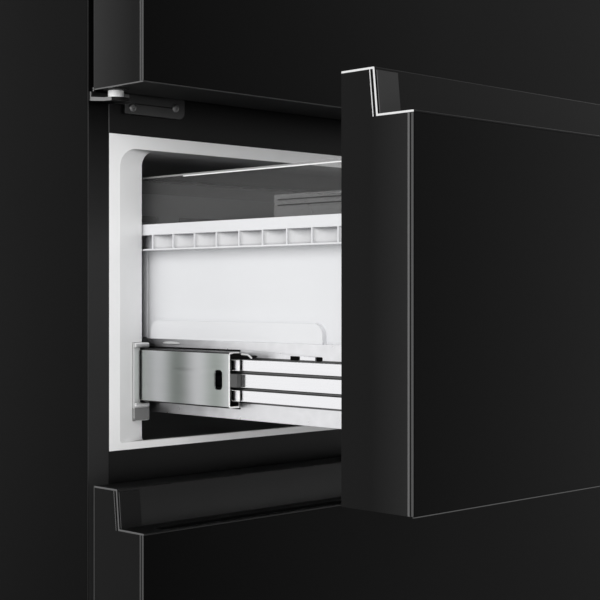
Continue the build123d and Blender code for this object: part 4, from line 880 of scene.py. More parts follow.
class MeshWork:
    """Builds one mesh out of closed shapes, in millimetres: x, depth behind the front plane, z."""

    def __init__(self) -> None:
        """Start with nothing."""
        self.shape = bmesh.new()

    def add_face(self, corners: Iterable[bmesh.types.BMVert]) -> None:
        """Close a face over corners already made."""
        self.shape.faces.new(list(corners))

    def corners(self, points: Iterable[Sequence[float]]) -> list[bmesh.types.BMVert]:
        """Make one corner at each point."""
        return [self.shape.verts.new(metres(point)) for point in points]

    def skin(self, rings: Sequence[Sequence[Point]], closed: bool = False) -> None:
        """Cover a row of equal rings, with a cap at each end.

        Args:
            rings: the rings, each a list of points.
            closed: whether the last ring joins the first, without caps.
        """
        made = [self.corners(ring) for ring in rings]
        count = len(made[0])
        pairs = list(zip(made, made[1:]))
        if closed:
            pairs.append((made[-1], made[0]))
        for near, far in pairs:
            for index in range(count):
                follow = (index + 1) % count
                self.add_face((near[index], near[follow], far[follow], far[index]))
        if not closed:
            self.add_face(reversed(made[0]))
            self.add_face(made[-1])

    def prism(self, outline: Sequence[Point], sweep: Point) -> None:
        """Push a flat outline along a straight line.

        Args:
            outline: its corners.
            sweep: the step to the far end.
        """
        far = [tuple(a + b for a, b in zip(point, sweep)) for point in outline]
        self.skin([list(outline), far])

    def block(self, low: Point, high: Point) -> None:
        """Add a box.

        Args:
            low: its corner with the lower x, depth and z.
            high: the opposite corner.
        """
        (left, front, bottom), (right, back, top) = low, high
        plan = ((left, front), (right, front), (right, back), (left, back))
        self.prism([(x, depth, bottom) for x, depth in plan], (0.0, 0.0, top - bottom))

    def boxes(self, boxes: Iterable[Box], origin: Point = (0.0, 0.0, 0.0)) -> None:
        """Add some boxes at the left side of the cabinet.

        Args:
            boxes: the span of each across, in depth and in height.
            origin: what they are measured from: how far in from the side, at which depth and how high.
        """
        left, front, bottom = origin
        for across, along, levels in boxes:
            ends = zip(across, along, levels)
            low, high = ((left + x - HALF, front + depth, bottom + z) for x, depth, z in ends)
            self.block(low, high)

    def turned(self, centre: Point, axis: Axis, profile: Outline, sides: int) -> None:
        """Turn a closed profile round an axis.

        Args:
            centre: where the axis passes, and where the profile's heights start.
            axis: direction of the axis.
            profile: (radius, height) points. If both ends are at radius 0 the shape is solid.
            sides: how many facets go round.
        """
        inner = [pair for pair in profile if pair[0] > 1e-6]
        rings = []
        for step in range(sides):
            turn = 2 * math.pi * step / sides
            rings.append([self.turned_point(centre, axis, radius, height, turn) for radius, height in inner])
        made = [self.corners(ring) for ring in rings]
        solid = len(inner) < len(profile)
        count = len(inner)
        last = count - 1 if solid else count
        for index, near in enumerate(made):
            far = made[(index + 1) % sides]
            for place in range(last):
                follow = (place + 1) % count
                self.add_face((near[place], near[follow], far[follow], far[place]))
        if solid:
            self.add_face(ring[0] for ring in made)
            self.add_face(ring[-1] for ring in reversed(made))

    @staticmethod
    def turned_point(centre: Point, axis: Axis, radius: float, height: float, turn: float) -> Point:
        """Give a point of a turned shape.

        Args:
            centre: where the axis passes.
            axis: direction of the axis.
            radius: distance from the axis.
            height: distance along the axis.
            turn: angle round the axis.

        Returns:
            The point.
        """
        a, b = radius * math.cos(turn), radius * math.sin(turn)
        offset = {Axis.X: (height, a, b), Axis.Y: (b, height, a), Axis.Z: (a, b, height)}[axis]
        return tuple(c + o for c, o in zip(centre, offset))

    def tube(self, path: Sequence[Point], radius: float, sides: int = 10) -> None:
        """Run a round rod along a path.

        Args:
            path: the points of its middle line.
            radius: its radius.
            sides: how many facets go round.
        """
        points = [Vector(point) for point in path]
        normal = Vector((0.0, 0.0, 1.0))
        rings = []
        for index, point in enumerate(points):
            before = points[max(index - 1, 0)]
            after = points[min(index + 1, len(points) - 1)]
            along = (after - before).normalized()
            if abs(along.dot(normal)) > 0.95:
                normal = Vector((1.0, 0.0, 0.0)) if abs(along.x) < 0.9 else Vector((0.0, 1.0, 0.0))
            side = along.cross(normal).normalized()
            normal = side.cross(along).normalized()
            rings.append(
                [
                    tuple(point + radius * (math.cos(turn) * side + math.sin(turn) * normal))
                    for turn in (2 * math.pi * step / sides for step in range(sides))
                ]
            )
        self.skin(rings)

    def mirror(self) -> None:
        """Add the mirror image of everything so far, at the other side of the cabinet."""
        copy = bmesh.ops.duplicate(self.shape, geom=list(self.shape.faces))
        corners = [item for item in copy["geom"] if isinstance(item, bmesh.types.BMVert)]
        for corner in corners:
            corner.co.x = -corner.co.x

    def mesh(self, name: str) -> bpy.types.Mesh:
        """Close the work into a mesh.

        Args:
            name: name of the mesh.

        Returns:
            The mesh, its faces turned outwards.
        """
        bmesh.ops.recalc_face_normals(self.shape, faces=self.shape.faces)
        mesh = bpy.data.meshes.new(name)
        self.shape.to_mesh(mesh)
        self.shape.free()
        return mesh

    def piece(
        self,
        name: str,
        finish: Finish,
        body: str,
        slot: str,
        edge: float = 0.0,
        steps: int = 2,
        twin: bool = True,
    ) -> bpy.types.Object:
        """Close the work into a dressed piece.

        Args:
            name: the piece's name.
            finish: its finish.
            body: the body that it rides on.
            slot: the record's material slot.
            edge: width of its bevel in millimetres, 0 for sharp edges.
            steps: steps across the bevel.
            twin: whether its mirror image stands at the other side.

        Returns:
            The new object.
        """
        if twin:
            self.mirror()
        piece = link_piece(name, self.mesh(name), finish, body, slot)
        if edge:
            soften(piece, edge, steps)
        return piece


def smooth_where(piece: bpy.types.Object, turned: Callable[[Vector], bool]) -> None:
    """Shade smooth the faces of a piece whose normal passes a test, and the others flat."""
    for polygon in piece.data.polygons:
        polygon.use_smooth = turned(polygon.normal)


def soften(piece: bpy.types.Object, width: float, segments: int = 2) -> None:
    """Bevel a piece's edges and smooth its shading, in the mesh itself.

    Args:
        piece: the piece.
        width: width of the bevel in millimetres.
        segments: steps across it.
    """
    bevel = piece.modifiers.new("edge", "BEVEL")
    bevel.width = width * MILLIMETRE
    bevel.segments = segments
    bevel.limit_method = "ANGLE"
    bevel.angle_limit = math.radians(BEVEL_ANGLE)
    bevel.miter_outer = "MITER_ARC"
    bevel.use_clamp_overlap = True
    smooth_where(piece, lambda normal: True)
    normals = piece.modifiers.new("normals", "WEIGHTED_NORMAL")
    normals.keep_sharp = True
    normals.weight = NORMAL_WEIGHT
    ready = piece.evaluated_get(bpy.context.evaluated_depsgraph_get())
    mesh = bpy.data.meshes.new_from_object(ready)
    old = piece.data
    piece.modifiers.clear()
    piece.data = mesh
    bpy.data.meshes.remove(old)


@dataclass
class Refined:
    """A CAD node drawn again with fine softened edges, standing for the node."""

    node: str
    width: float

    def build(self, finish: Finish, slot: str) -> bpy.types.Object:
        """Draw it.

        Args:
            finish: its finish.
            slot: the record's material slot.

        Returns:
            The piece.
        """
        source = frame["nodes"][self.node]
        shape = bmesh.new()
        shape.from_mesh(source.data)
        bmesh.ops.remove_doubles(shape, verts=shape.verts, dist=WELD)
        bmesh.ops.dissolve_limit(shape, angle_limit=FLAT, verts=shape.verts, edges=shape.edges)
        mesh = bpy.data.meshes.new(self.node + "_skin")
        shape.to_mesh(mesh)
        shape.free()
        if "custom_normal" in mesh.attributes:
            mesh.attributes.remove(mesh.attributes["custom_normal"])
        piece = link_piece(self.node + "_skin", mesh, finish, body_of_node(self.node), slot)
        soften(piece, self.width)
        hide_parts(self.node)
        return piece


def paint_where(piece: bpy.types.Object, finish: Finish, inside: Callable[[Vector, Vector], bool]) -> None:
    """Give some faces of a piece another finish.

    Args:
        piece: the piece.
        finish: the other finish.
        inside: says whether a face is painted, from its centre in millimetres (depth as y) and its normal.
    """
    piece.data.materials.append(finish.material())
    index = len(piece.data.materials) - 1
    for polygon in piece.data.polygons:
        centre = polygon.center / MILLIMETRE
        centre.y -= FRONT
        if inside(centre, polygon.normal):
            polygon.material_index = index


@dataclass(frozen=True)
class Screws:
    """Pan-head screws with a sunk middle, all on one body."""

    name: str
    body: str
    slot: str
    axis: Axis
    facing: int
    places: Sequence[Point]
    radius: float = 3.4
    height: float = 1.3
    sides: int = 20
    profile: Outline = (
        (0.0, 0.0),
        (1.0, 0.0),
        (1.0, 0.25),
        (0.93, 0.6),
        (0.72, 0.9),
        (0.45, 1.0),
        (0.36, 0.94),
        (0.26, 0.35),
        (0.0, 0.35),
    )

    def build(self, finish: Finish) -> None:
        """Turn the heads.

        Args:
            finish: the finish of the heads.
        """
        work = MeshWork()
        head = [(radius * self.radius, height * self.height * self.facing) for radius, height in self.profile]
        for place in self.places:
            work.turned(place, self.axis, head, self.sides)
        work.piece(self.name, finish, self.body, self.slot, twin=False)


@dataclass
class FridgeFront:
    """The fridge door's body and skin, with the fine edges that catch the light."""

    low: float = 720.0
    high: float = 1868.0
    bevel: float = 0.35
    skin: float = 1.0
    glint: float = 0.9
    back_glint: float = 0.8
    front_glint: float = 0.7

    def build(self) -> None:
        """Draw the door's two outer parts and its glints."""
        core = Refined("fridge_door_core", self.bevel).build(FRIDGE_DOOR_BODY, "door_body")
        paint_where(core, EDGE_GLINT_AND_SHADOW_LINE, on_side_step)
        panel = Refined("fridge_door_panel", self.bevel).build(BLACK_PANEL, "black_front")
        paint_where(panel, EDGE_GLINT_AND_SHADOW_LINE, on_side_face)
        behind_skin = self.skin - DOOR_REACH
        side = MeshWork()
        side.block((-HALF, behind_skin, self.low - self.glint), (self.glint - HALF, -DOOR_GAP, self.low))
        side.piece("fridge_door_side_glints", DIM_EDGE_HIGHLIGHT, "fridge_door", "door_body")
        edge = MeshWork()
        edge.block((-HALF, -DOOR_REACH, self.low - self.front_glint), (HALF, behind_skin, self.low))
        line = self.back_glint
        edge.block((-HALF, -DOOR_GAP, self.low), (line - HALF, line - DOOR_GAP, self.high))
        edge.piece("fridge_door_edge_glints", FAINT_GLINT, "fridge_door", "door_body", twin=False)


def on_side_face(centre: Vector, normal: Vector) -> bool:
    """Say whether a face lies in a side plane of the cabinet."""
    return abs(normal.x) > SQUARE_ON and abs(centre.x) > HALF - SIDE_SKIN


def on_side_step(centre: Vector, normal: Vector) -> bool:
    """Say whether a face lies in the fine step behind a front skin."""
    return abs(normal.x) > SQUARE_ON and HALF - SIDE_STEP < abs(centre.x) < HALF - SIDE_SKIN


@dataclass
class DrawerPart:
    """What everything on one drawer shares: the drawer's name and how far out it is stored."""

    drawer: str
    out: float

    @property
    def drawer_body(self) -> str:
        """The body of the drawer itself."""
        return f"{self.drawer}_drawer"

    def named(self, part: str) -> str:
        """Give the full name of one of the drawer's pieces or nodes."""
        return f"{self.drawer}_{part}"


@dataclass
class DrawerFront(DrawerPart):
    """One drawer's front: body, skin, Z-profile handle with its cut ends, and pale caps.

    Low, high and face_high are the levels of its underside, of its top and of the panel's top. The glint and
    the lines are the widths of its bright edges.
    """

    low: float
    high: float
    face_high: float
    body: Finish
    sheet: Finish
    cap: Finish
    # cut: the painted highlight on the handle's cut ends; step_highlight: the one painted on the step behind
    # the front skin
    cut: Finish
    step_highlight: Finish
    back_glint: bool
    bevel: float = 0.35
    handle_bevel: float = 0.2
    cap_bevel: float = 0.25
    cap_end: float = 2.0
    lip: float = 28.7
    steel: float = 1.5
    slit: float = 1.5
    slant: float = 3.0
    lit: Span = (0.5, 1.4)
    shade_inset: float = 0.35
    slit_width: float = 0.8
    skin: float = 1.0
    glint: float = 0.9
    back_line: float = 0.8
    side_line: float = 0.7
    front_line: float = 0.6
    groove: Box = ((0.05, 1.4), (2.3, 3.5), (0.3, -1.6))

    def build(self) -> None:
        """Draw the front and light its edges."""
        core = Refined(self.named("drawer_core"), self.bevel).build(self.body, "door_body")
        paint_where(core, self.step_highlight, on_side_step)
        panel = Refined(self.named("drawer_panel"), self.bevel).build(BLACK_PANEL, "black_front")
        paint_where(panel, EDGE_GLINT_AND_SHADOW_LINE, on_side_face)
        handle = Refined(self.named("drawer_handle"), self.handle_bevel).build(self.sheet, "handle_metal")
        paint_where(handle, self.cut, on_side_face)
        caps = Refined(self.named("handle_caps"), self.cap_bevel).build(self.cap, "cap_grey")
        paint_where(caps, DIM_EDGE_HIGHLIGHT, self.on_cap_end)
        self.slit_edges()
        self.glints()

    def on_cap_end(self, centre: Vector, normal: Vector) -> bool:
        """Say whether a face is the outer end of a handle cap."""
        return abs(normal.x) > SQUARE_ON and abs(centre.x) > HALF - self.cap_end

    def slit_edges(self) -> None:
        """Paint a highlight on the edge of the body's sheet behind the slit, and shade into the slit, at both
        ends of the handle.
        """
        top, ledge = self.high - self.steel, self.face_high - self.steel
        lip = -DOOR_GAP - self.lip + self.steel + self.slit - self.out
        shade = (0.1 - self.slit, self.lit[0])
        for part, (start, end), finish, inset in (
            ("slit_edges", self.lit, self.cut, 0.0),
            ("slit_shades", shade, PAINTED_SHADE_LINE, self.shade_inset),
        ):
            outline = [
                (inset - HALF, lip - self.slant + end, ledge),
                (inset - HALF, lip - self.slant + start, ledge),
                (inset - HALF, lip + start, top),
                (inset - HALF, lip + end, top),
            ]
            work = MeshWork()
            work.prism(outline, (self.slit_width, 0.0, 0.0))
            work.piece(self.named(part), finish, self.drawer_body, "handle_metal")

    def glints(self) -> None:
        """Add painted highlights on the fine folded edges behind the body and under it, and painted shade in
        the groove at its sides.
        """
        back, front = -DOOR_GAP - self.out, -DOOR_REACH - self.out
        work = MeshWork()
        if self.back_glint:
            side = self.glint - HALF
            work.block((-HALF, back, self.low), (side, back + self.back_line, self.high))
            work.block((-HALF, front + self.skin, self.low - self.side_line), (side, back, self.low))
        work.mirror()
        work.block((-HALF, front, self.low - self.front_line), (HALF, front + self.skin, self.low))
        work.piece(self.named("edge_glints"), EDGE_GLINT_AND_SHADOW_LINE, self.drawer_body, "door_body", twin=False)
        across, along, levels = self.groove
        groove = MeshWork()
        groove.block(
            (across[0] - HALF, front + along[0], self.low + levels[0]),
            (across[1] - HALF, front + along[1], self.face_high + levels[1]),
        )
        groove.piece(self.named("side_grooves"), PAINTED_SHADE_LINE, self.drawer_body, "door_body")


@dataclass
class CabinetFace:
    """The crossbars and kick plate with soft edges, and on the cabinet's front the painted highlight lines
    and the flange skins with their painted sheen.
    """

    bevel: float = 0.35
    seam: Box = ((20.0, 20.4), (-0.25, 0.1), (688.5, 711.0))
    flange: Box = ((0.9, 19.9), (-0.2, 0.1), (42.0, CABINET_TOP - 2.0))
    corner: Box = ((0.0, 0.8), (-0.2, 0.4), (42.0, CABINET_TOP - 2.0))
    flange_bevel: float = 0.05

    def build(self) -> None:
        """Draw the crossbars, the kick plate and the lines."""
        Refined("crossbars", self.bevel).build(CROSSBAR, "black_cabinet")
        Refined("kick_plate", self.bevel).build(BLACK_SHELL, "black_cabinet")
        for name, box, finish, edge in (
            # a grey line along the seam, painted as its highlight
            ("front_seam_highlights", self.seam, HINGE_GREY, 0.0),
            ("front_flange_sheen_skins", self.flange, FLANGE, self.flange_bevel),
            ("front_corner_lines", self.corner, FAINT_GLINT, 0.0),
        ):
            work = MeshWork()
            work.boxes([box])
            work.piece(name, finish, "cabinet", "black_cabinet", edge, 1)


@dataclass
class MiddleHinge:
    """The bracket under the fridge door: dark arm and plate, white collar, upstand and screws.

    Axis and plate_corner are given as (x, depth), the arm as its lowest and highest level, and the screws
    as (x, level).
    """

    axis: Pair = (-338.0, -20.0)
    collar_radius: float = 7.5
    collar_top: float = 719.0
    collar_slim: float = 0.82
    arm: Span = (711.5, 714.5)
    drop: float = 2.0
    drop_start: float = 3.3
    drop_run: float = 5.0
    bevel: float = 0.3
    plate_corner: Pair = (-326.0, -4.0)
    plate_face: float = -3.0
    arm_end: float = -344.0
    screws: tuple[Pair, ...] = ((-308.3, 709.8), (-263.8, 713.4))
    upstand: Box = ((3.4, 5.8), (-2.4, 0.0), (712.7, 722.6))
    cheek: Box = ((25.0, 31.6), (-12.0, -3.2), (713.6, 719.0))
    upstand_bevel: float = 0.6
    slot_line: Box = ((44.0, 86.0), (-3.12, -2.5), (712.6, 713.5))

    def on_collar(self, centre: Vector, normal: Vector) -> bool:
        """Say whether a face belongs to the collar."""
        reach = math.hypot(centre.x - self.axis[0], centre.y - self.axis[1])
        level = self.arm[1] - self.drop < centre.z < self.collar_top
        return level and reach < self.collar_radius + 0.3 and abs(normal.z) < SQUARE_ON

    def on_plate(self, centre: Vector, _: Vector) -> bool:
        """Say whether a face belongs to the mounting plate."""
        return centre.x > self.plate_corner[0] and centre.y > self.plate_corner[1]

    def on_arm_end(self, centre: Vector, normal: Vector) -> bool:
        """Say whether a face is the cut end of the arm."""
        return centre.x < self.arm_end and normal.x < -0.8 and centre.z < self.arm[1] + 0.1

    def build(self) -> None:
        """Draw the hinge and its screws."""
        piece = Refined("middle_hinge", self.bevel).build(HINGE_DARK, "zinc")
        self.joggle(piece)
        paint_where(piece, HINGE_PLATE, self.on_plate)
        paint_where(piece, HINGE_GREY, self.on_arm_end)
        paint_where(piece, COLLAR_WHITE, self.on_collar)
        self.fittings()
        places = [(x, self.plate_face, z) for x, z in self.screws]
        Screws("middle_hinge_screws", "cabinet", "zinc", Axis.Y, -1, places).build(HINGE_GREY)

    def joggle(self, piece: bpy.types.Object) -> None:
        """Bend the arm down ahead of the cabinet and slim the collar on it.

        Args:
            piece: the hinge.
        """
        slimmer = (1.0 - self.collar_slim) * MILLIMETRE
        for vertex in piece.data.vertices:
            place = vertex.co / MILLIMETRE
            depth = place.y - FRONT
            reach = math.hypot(place.x - self.axis[0], depth - self.axis[1])
            if self.arm[1] - 0.7 < place.z < self.collar_top and reach < self.collar_radius + 0.4:
                vertex.co.x += (self.axis[0] - place.x) * slimmer
                vertex.co.y += (self.axis[1] - depth) * slimmer
            ahead = -depth - self.drop_start
            if place.z < self.arm[1] + 0.6 and ahead > 0.0:
                vertex.co.z -= self.drop * min(1.0, ahead / self.drop_run) * MILLIMETRE

    def fittings(self) -> None:
        """Add the upstand at the arm's root, the cheek beside the collar and the plate's slot."""
        pale = MeshWork()
        pale.boxes([self.upstand, self.cheek])
        pale.piece("middle_hinge_upstand", HINGE_GREY, "cabinet", "zinc", self.upstand_bevel, twin=False)
        dark = MeshWork()
        dark.boxes([self.slot_line])
        dark.piece("middle_hinge_slot", HINGE_DARK, "cabinet", "zinc", twin=False)


@dataclass
class SlideSet(DrawerPart):
    """One drawer's telescopic slides: rails, middle members, runners and brackets, and their fittings.

    Each box has a span across, one in depth and one in height. Heights are from the rail's middle. Foot,
    flange_end and mouth are measured from the cabinet's side and the shut front plane, ball_cage and nose
    from the face and the start of the middle member, and the others from the bracket's face and start.
    """

    rail_middle: float
    bevel: float = 0.25
    slide_face: float = 54.4
    slide_height: float = 42.6
    slide_start: float = 28.5
    slide_bend: float = 1.5
    stop_depth: float = 9.0
    stop_half: float = 5.2
    bracket_face: float = 68.0
    foot: Box = ((47.5, 64.0), (2.7, 25.3), (-37.2, -26.0))
    foot_bevel: float = 1.2
    damper_across: Span = (1.6, 7.5)
    damper_levels: Span = (16.2, 20.8)
    damper_length: float = 25.0
    damper_bevel: float = 0.7
    hook_radius: float = 0.75
    ball_cage: Box = ((1.4, 3.4), (1.8, 60.0), (5.4, 19.6))
    cage_bevel: float = 0.4
    nose: Box = ((4.1, 5.4), (-7.0, 1.5), (7.4, 15.7))
    hem_inset: float = 0.75
    hem_reach: float = 10.5
    hem_corner: float = 1.4
    hem_radius: float = 0.7
    rod_radius: float = 1.1
    rod_inset: float = 61.9
    rod_level: float = 6.25
    rod_depths: tuple[float, ...] = (2.0, 120.0, 240.0, 338.0)
    shadow_line_boxes: tuple[Box, ...] = (
        ((-0.35, 0.1), (1.0, 329.0), (15.3, 17.4)),
        ((-0.35, 0.1), (1.0, 329.0), (-17.8, -16.5)),
    )
    shadow_crease_boxes: tuple[Box, ...] = (
        ((-0.3, 0.1), (163.0, 324.0), (21.5, 22.9)),
        ((-0.3, 0.1), (163.0, 324.0), (-22.7, -21.4)),
    )
    bead: Point = (246.0, 26.0, 0.5)
    bead_half: Pair = (11.0, 1.5)
    bead_sides: int = 24
    clip_plate: Box = ((-0.5, 1.0), (82.0, 98.0), (17.1, 19.9))
    clip_jaws: tuple[Box, ...] = (
        ((-0.4, 1.0), (75.4, 81.0), (16.5, 19.9)),
        ((-0.4, 1.0), (99.0, 108.0), (16.5, 19.9)),
    )
    small_bevel: float = 0.3
    flange_end: Box = ((47.9, 62.4), (1.0, 3.2), (22.2, 26.0))
    flange_bevel: float = 0.9
    mouth: Box = ((53.5, 53.9), (2.0, 2.8), (-20.0, 20.0))

    @property
    def slide_body(self) -> str:
        """The body of the middle members."""
        return f"{self.drawer}_slides"

    @property
    def start(self) -> float:
        """Where the middle member begins, as the drawer is stored."""
        return self.slide_start - self.out / 2

    def build(self) -> None:
        """Build all of it."""
        self.members()
        self.damper()
        self.cage()
        self.hems()
        self.rods()
        self.runner_shadow_lines()
        self.beads()
        self.clips()
        self.rail_end()

    def boxed(self, boxes: Iterable[Box], face: float = 0.0, begin: float = 0.0) -> MeshWork:
        """Make some boxes at the left slide.

        Args:
            boxes: the boxes.
            face: distance from the cabinet's side that they are measured from.
            begin: depth that they are measured from.

        Returns:
            The work with them in it.
        """
        work = MeshWork()
        work.boxes(boxes, (face, begin, self.rail_middle))
        return work

    @staticmethod
    def both_ways(box: Box) -> tuple[Box, Box]:
        """Give a box over the rail's middle and its mirror image under it."""
        across, along, (low, high) = box
        return box, (across, along, (-high, -low))

    def members(self) -> None:
        """Draw the CAD members again with soft edges, and paint shade into their bends, a white highlight on
        their cut ends and their stop blocks grey.
        """
        Refined(self.named("fixed_rails"), self.bevel).build(RAIL, "rail_steel")
        feet = self.boxed([self.foot])
        feet.piece(self.named("rail_feet"), FOOT_GREY, "cabinet", "rail_steel", self.foot_bevel, 3)
        slides = Refined(self.named("slides"), self.bevel).build(SLIDE, "bright_steel")
        paint_where(slides, SLIDE_BEND, self.on_bend)
        paint_where(slides, WHITE_EDGE_HIGHLIGHT, self.on_cut_end)
        paint_where(slides, STOP_GREY, self.on_stop)
        Refined(self.named("runners"), self.bevel).build(BRIGHT, "bright_steel")
        Refined(self.named("drawer_brackets"), self.bevel).build(BRACKET, "zinc")

    def on_bend(self, centre: Vector, normal: Vector) -> bool:
        """Say whether a face lies in a bend of the middle member."""
        edge = self.slide_height / 2 - self.slide_bend
        return abs(centre.z - self.rail_middle) > edge and abs(normal.x) < 0.97 and abs(normal.y) < 0.5

    def on_cut_end(self, centre: Vector, normal: Vector) -> bool:
        """Say whether a face is the front end of the middle member."""
        return normal.y < -0.5 and centre.y < self.start + 0.5

    def on_stop(self, centre: Vector, _: Vector) -> bool:
        """Say whether a face belongs to the stop block inside the middle member."""
        inside = abs(centre.x) < HALF - self.slide_face - 1.0
        level = abs(centre.z - self.rail_middle) < self.stop_half
        return inside and level and centre.y < self.start + self.stop_depth

    def damper(self) -> None:
        """Mould the rubber damper over the front end of each middle member, with its bright hook."""
        low, high = (self.rail_middle + level for level in self.damper_levels)
        near, far = (self.slide_face + across - HALF for across in self.damper_across)
        tip = self.start - self.damper_length
        profile = [
            (self.start + 4.0, low + 0.4),
            (tip + 7.0, low + 0.4),
            (tip + 2.0, low + 1.4),
            (tip, low + 3.0),
            (tip + 3.5, high - 1.2),
            (tip + 9.0, high - 2.0),
            (tip + 14.0, high - 0.5),
            (tip + 22.0, high),
            (self.start - 1.0, high - 0.8),
            (self.start + 4.0, high - 1.4),
        ]
        work = MeshWork()
        work.prism([(near, depth, z) for depth, z in profile], (far - near, 0.0, 0.0))
        work.piece(self.named("slide_dampers"), DAMPER, self.slide_body, "seal", self.damper_bevel)
        bends = ((12.0, 0.4), (5.0, 0.7), (1.0, 3.0))
        hook = MeshWork()
        hook.tube([(near - 0.2, tip + back, high - below) for back, below in bends], self.hook_radius)
        hook.piece(self.named("slide_hooks"), BRIGHT_EDGE_HIGHLIGHT, self.slide_body, "bright_steel")

    def cage(self) -> None:
        """Fill the mouth of each middle member with its black ball cage, and add the nose plates on it."""
        cages = self.boxed(self.both_ways(self.ball_cage), self.slide_face, self.start)
        cages.piece(self.named("ball_cages"), DAMPER, self.slide_body, "seal", self.cage_bevel)
        noses = self.boxed(self.both_ways(self.nose), self.slide_face, self.start)
        name = self.named("slide_noses")
        plates = noses.piece(name, BRIGHT, self.slide_body, "bright_steel", self.small_bevel)
        # the nose plates' ends and edges are painted white as highlights
        paint_where(plates, WHITE_EDGE_HIGHLIGHT, lambda centre, normal: abs(normal.x) < 0.95)

    def hems(self) -> None:
        """Run the white edge, a painted highlight, round the front end of each middle member."""
        web, tip = self.slide_face + self.hem_inset - HALF, self.slide_face + self.hem_reach - HALF
        half, corner = self.slide_height / 2 - self.hem_inset, self.hem_corner
        upper = [(tip, half), (web + corner, half), (web + 0.4, half - 0.4), (web, half - corner)]
        depth = self.start + 0.3
        path = [(x, depth, self.rail_middle + z) for x, z in upper]
        path += [(x, depth, self.rail_middle - z) for x, z in reversed(upper)]
        hem = MeshWork()
        hem.tube(path, self.hem_radius)
        hem.piece(self.named("slide_hems"), WHITE_EDGE_HIGHLIGHT, self.slide_body, "bright_steel")

    def rods(self) -> None:
        """Draw the two dark retaining rods along each runner."""
        work = MeshWork()
        for level in (-self.rod_level, self.rod_level):
            z = self.rail_middle + level
            path = [(self.rod_inset - HALF, depth - self.out, z) for depth in self.rod_depths]
            work.tube(path, self.rod_radius)
        work.piece(self.named("runner_rods"), ROD, self.drawer_body, "zinc")

    def runner_shadow_lines(self) -> None:
        """Lay painted shadow lines on the bracket's face, just over and under the runner and along the middle
        member's edges.
        """
        for part, boxes, finish in (
            ("bracket_seams", self.shadow_line_boxes, EDGE_GLINT_AND_SHADOW_LINE),
            ("bracket_creases", self.shadow_crease_boxes, PAINTED_SHADE_LINE),
        ):
            work = self.boxed(boxes, self.bracket_face, -self.out)
            work.piece(self.named(part), finish, self.drawer_body, "zinc")

    def beads(self) -> None:
        """Emboss the bead near the end of the bracket's face, bright as a painted highlight."""
        depth, level, height = self.bead
        half_length, half_height = self.bead_half
        rings = []
        for share, reach in ((0.0, 1.0), (0.5, 0.9), (0.85, 0.6), (1.0, 0.2)):
            ring = []
            for step in range(self.bead_sides):
                turn = 2 * math.pi * step / self.bead_sides
                along = depth - self.out + half_length * reach * math.cos(turn)
                z = self.rail_middle + level + half_height * reach * math.sin(turn)
                ring.append((self.bracket_face - HALF + 0.05 - height * share, along, z))
            rings.append(ring)
        work = MeshWork()
        work.skin(rings)
        work.piece(self.named("bracket_beads"), BRIGHT_EDGE_HIGHLIGHT, self.drawer_body, "zinc")

    def clips(self) -> None:
        """Set the clip in the notch of the bracket's face: a bright plate between two dark jaws."""
        for part, boxes, finish in (
            ("notch_clip_plates", (self.clip_plate,), BRIGHT),
            ("notch_clip_jaws", self.clip_jaws, DAMPER),
        ):
            work = self.boxed(boxes, self.bracket_face, -self.out)
            work.piece(self.named(part), finish, self.drawer_body, "zinc", self.small_bevel)

    def rail_end(self) -> None:
        """Roll the front ends of each fixed rail's flanges and shade its mouth, from the cabinet's side."""
        ends = self.boxed(self.both_ways(self.flange_end))
        ends.piece(self.named("rail_ends"), RAIL, "cabinet", "rail_steel", self.flange_bevel, 3)
        mouths = self.boxed([self.mouth])
        mouths.piece(self.named("rail_mouths"), PAINTED_SHADE_LINE, "cabinet", "rail_steel")


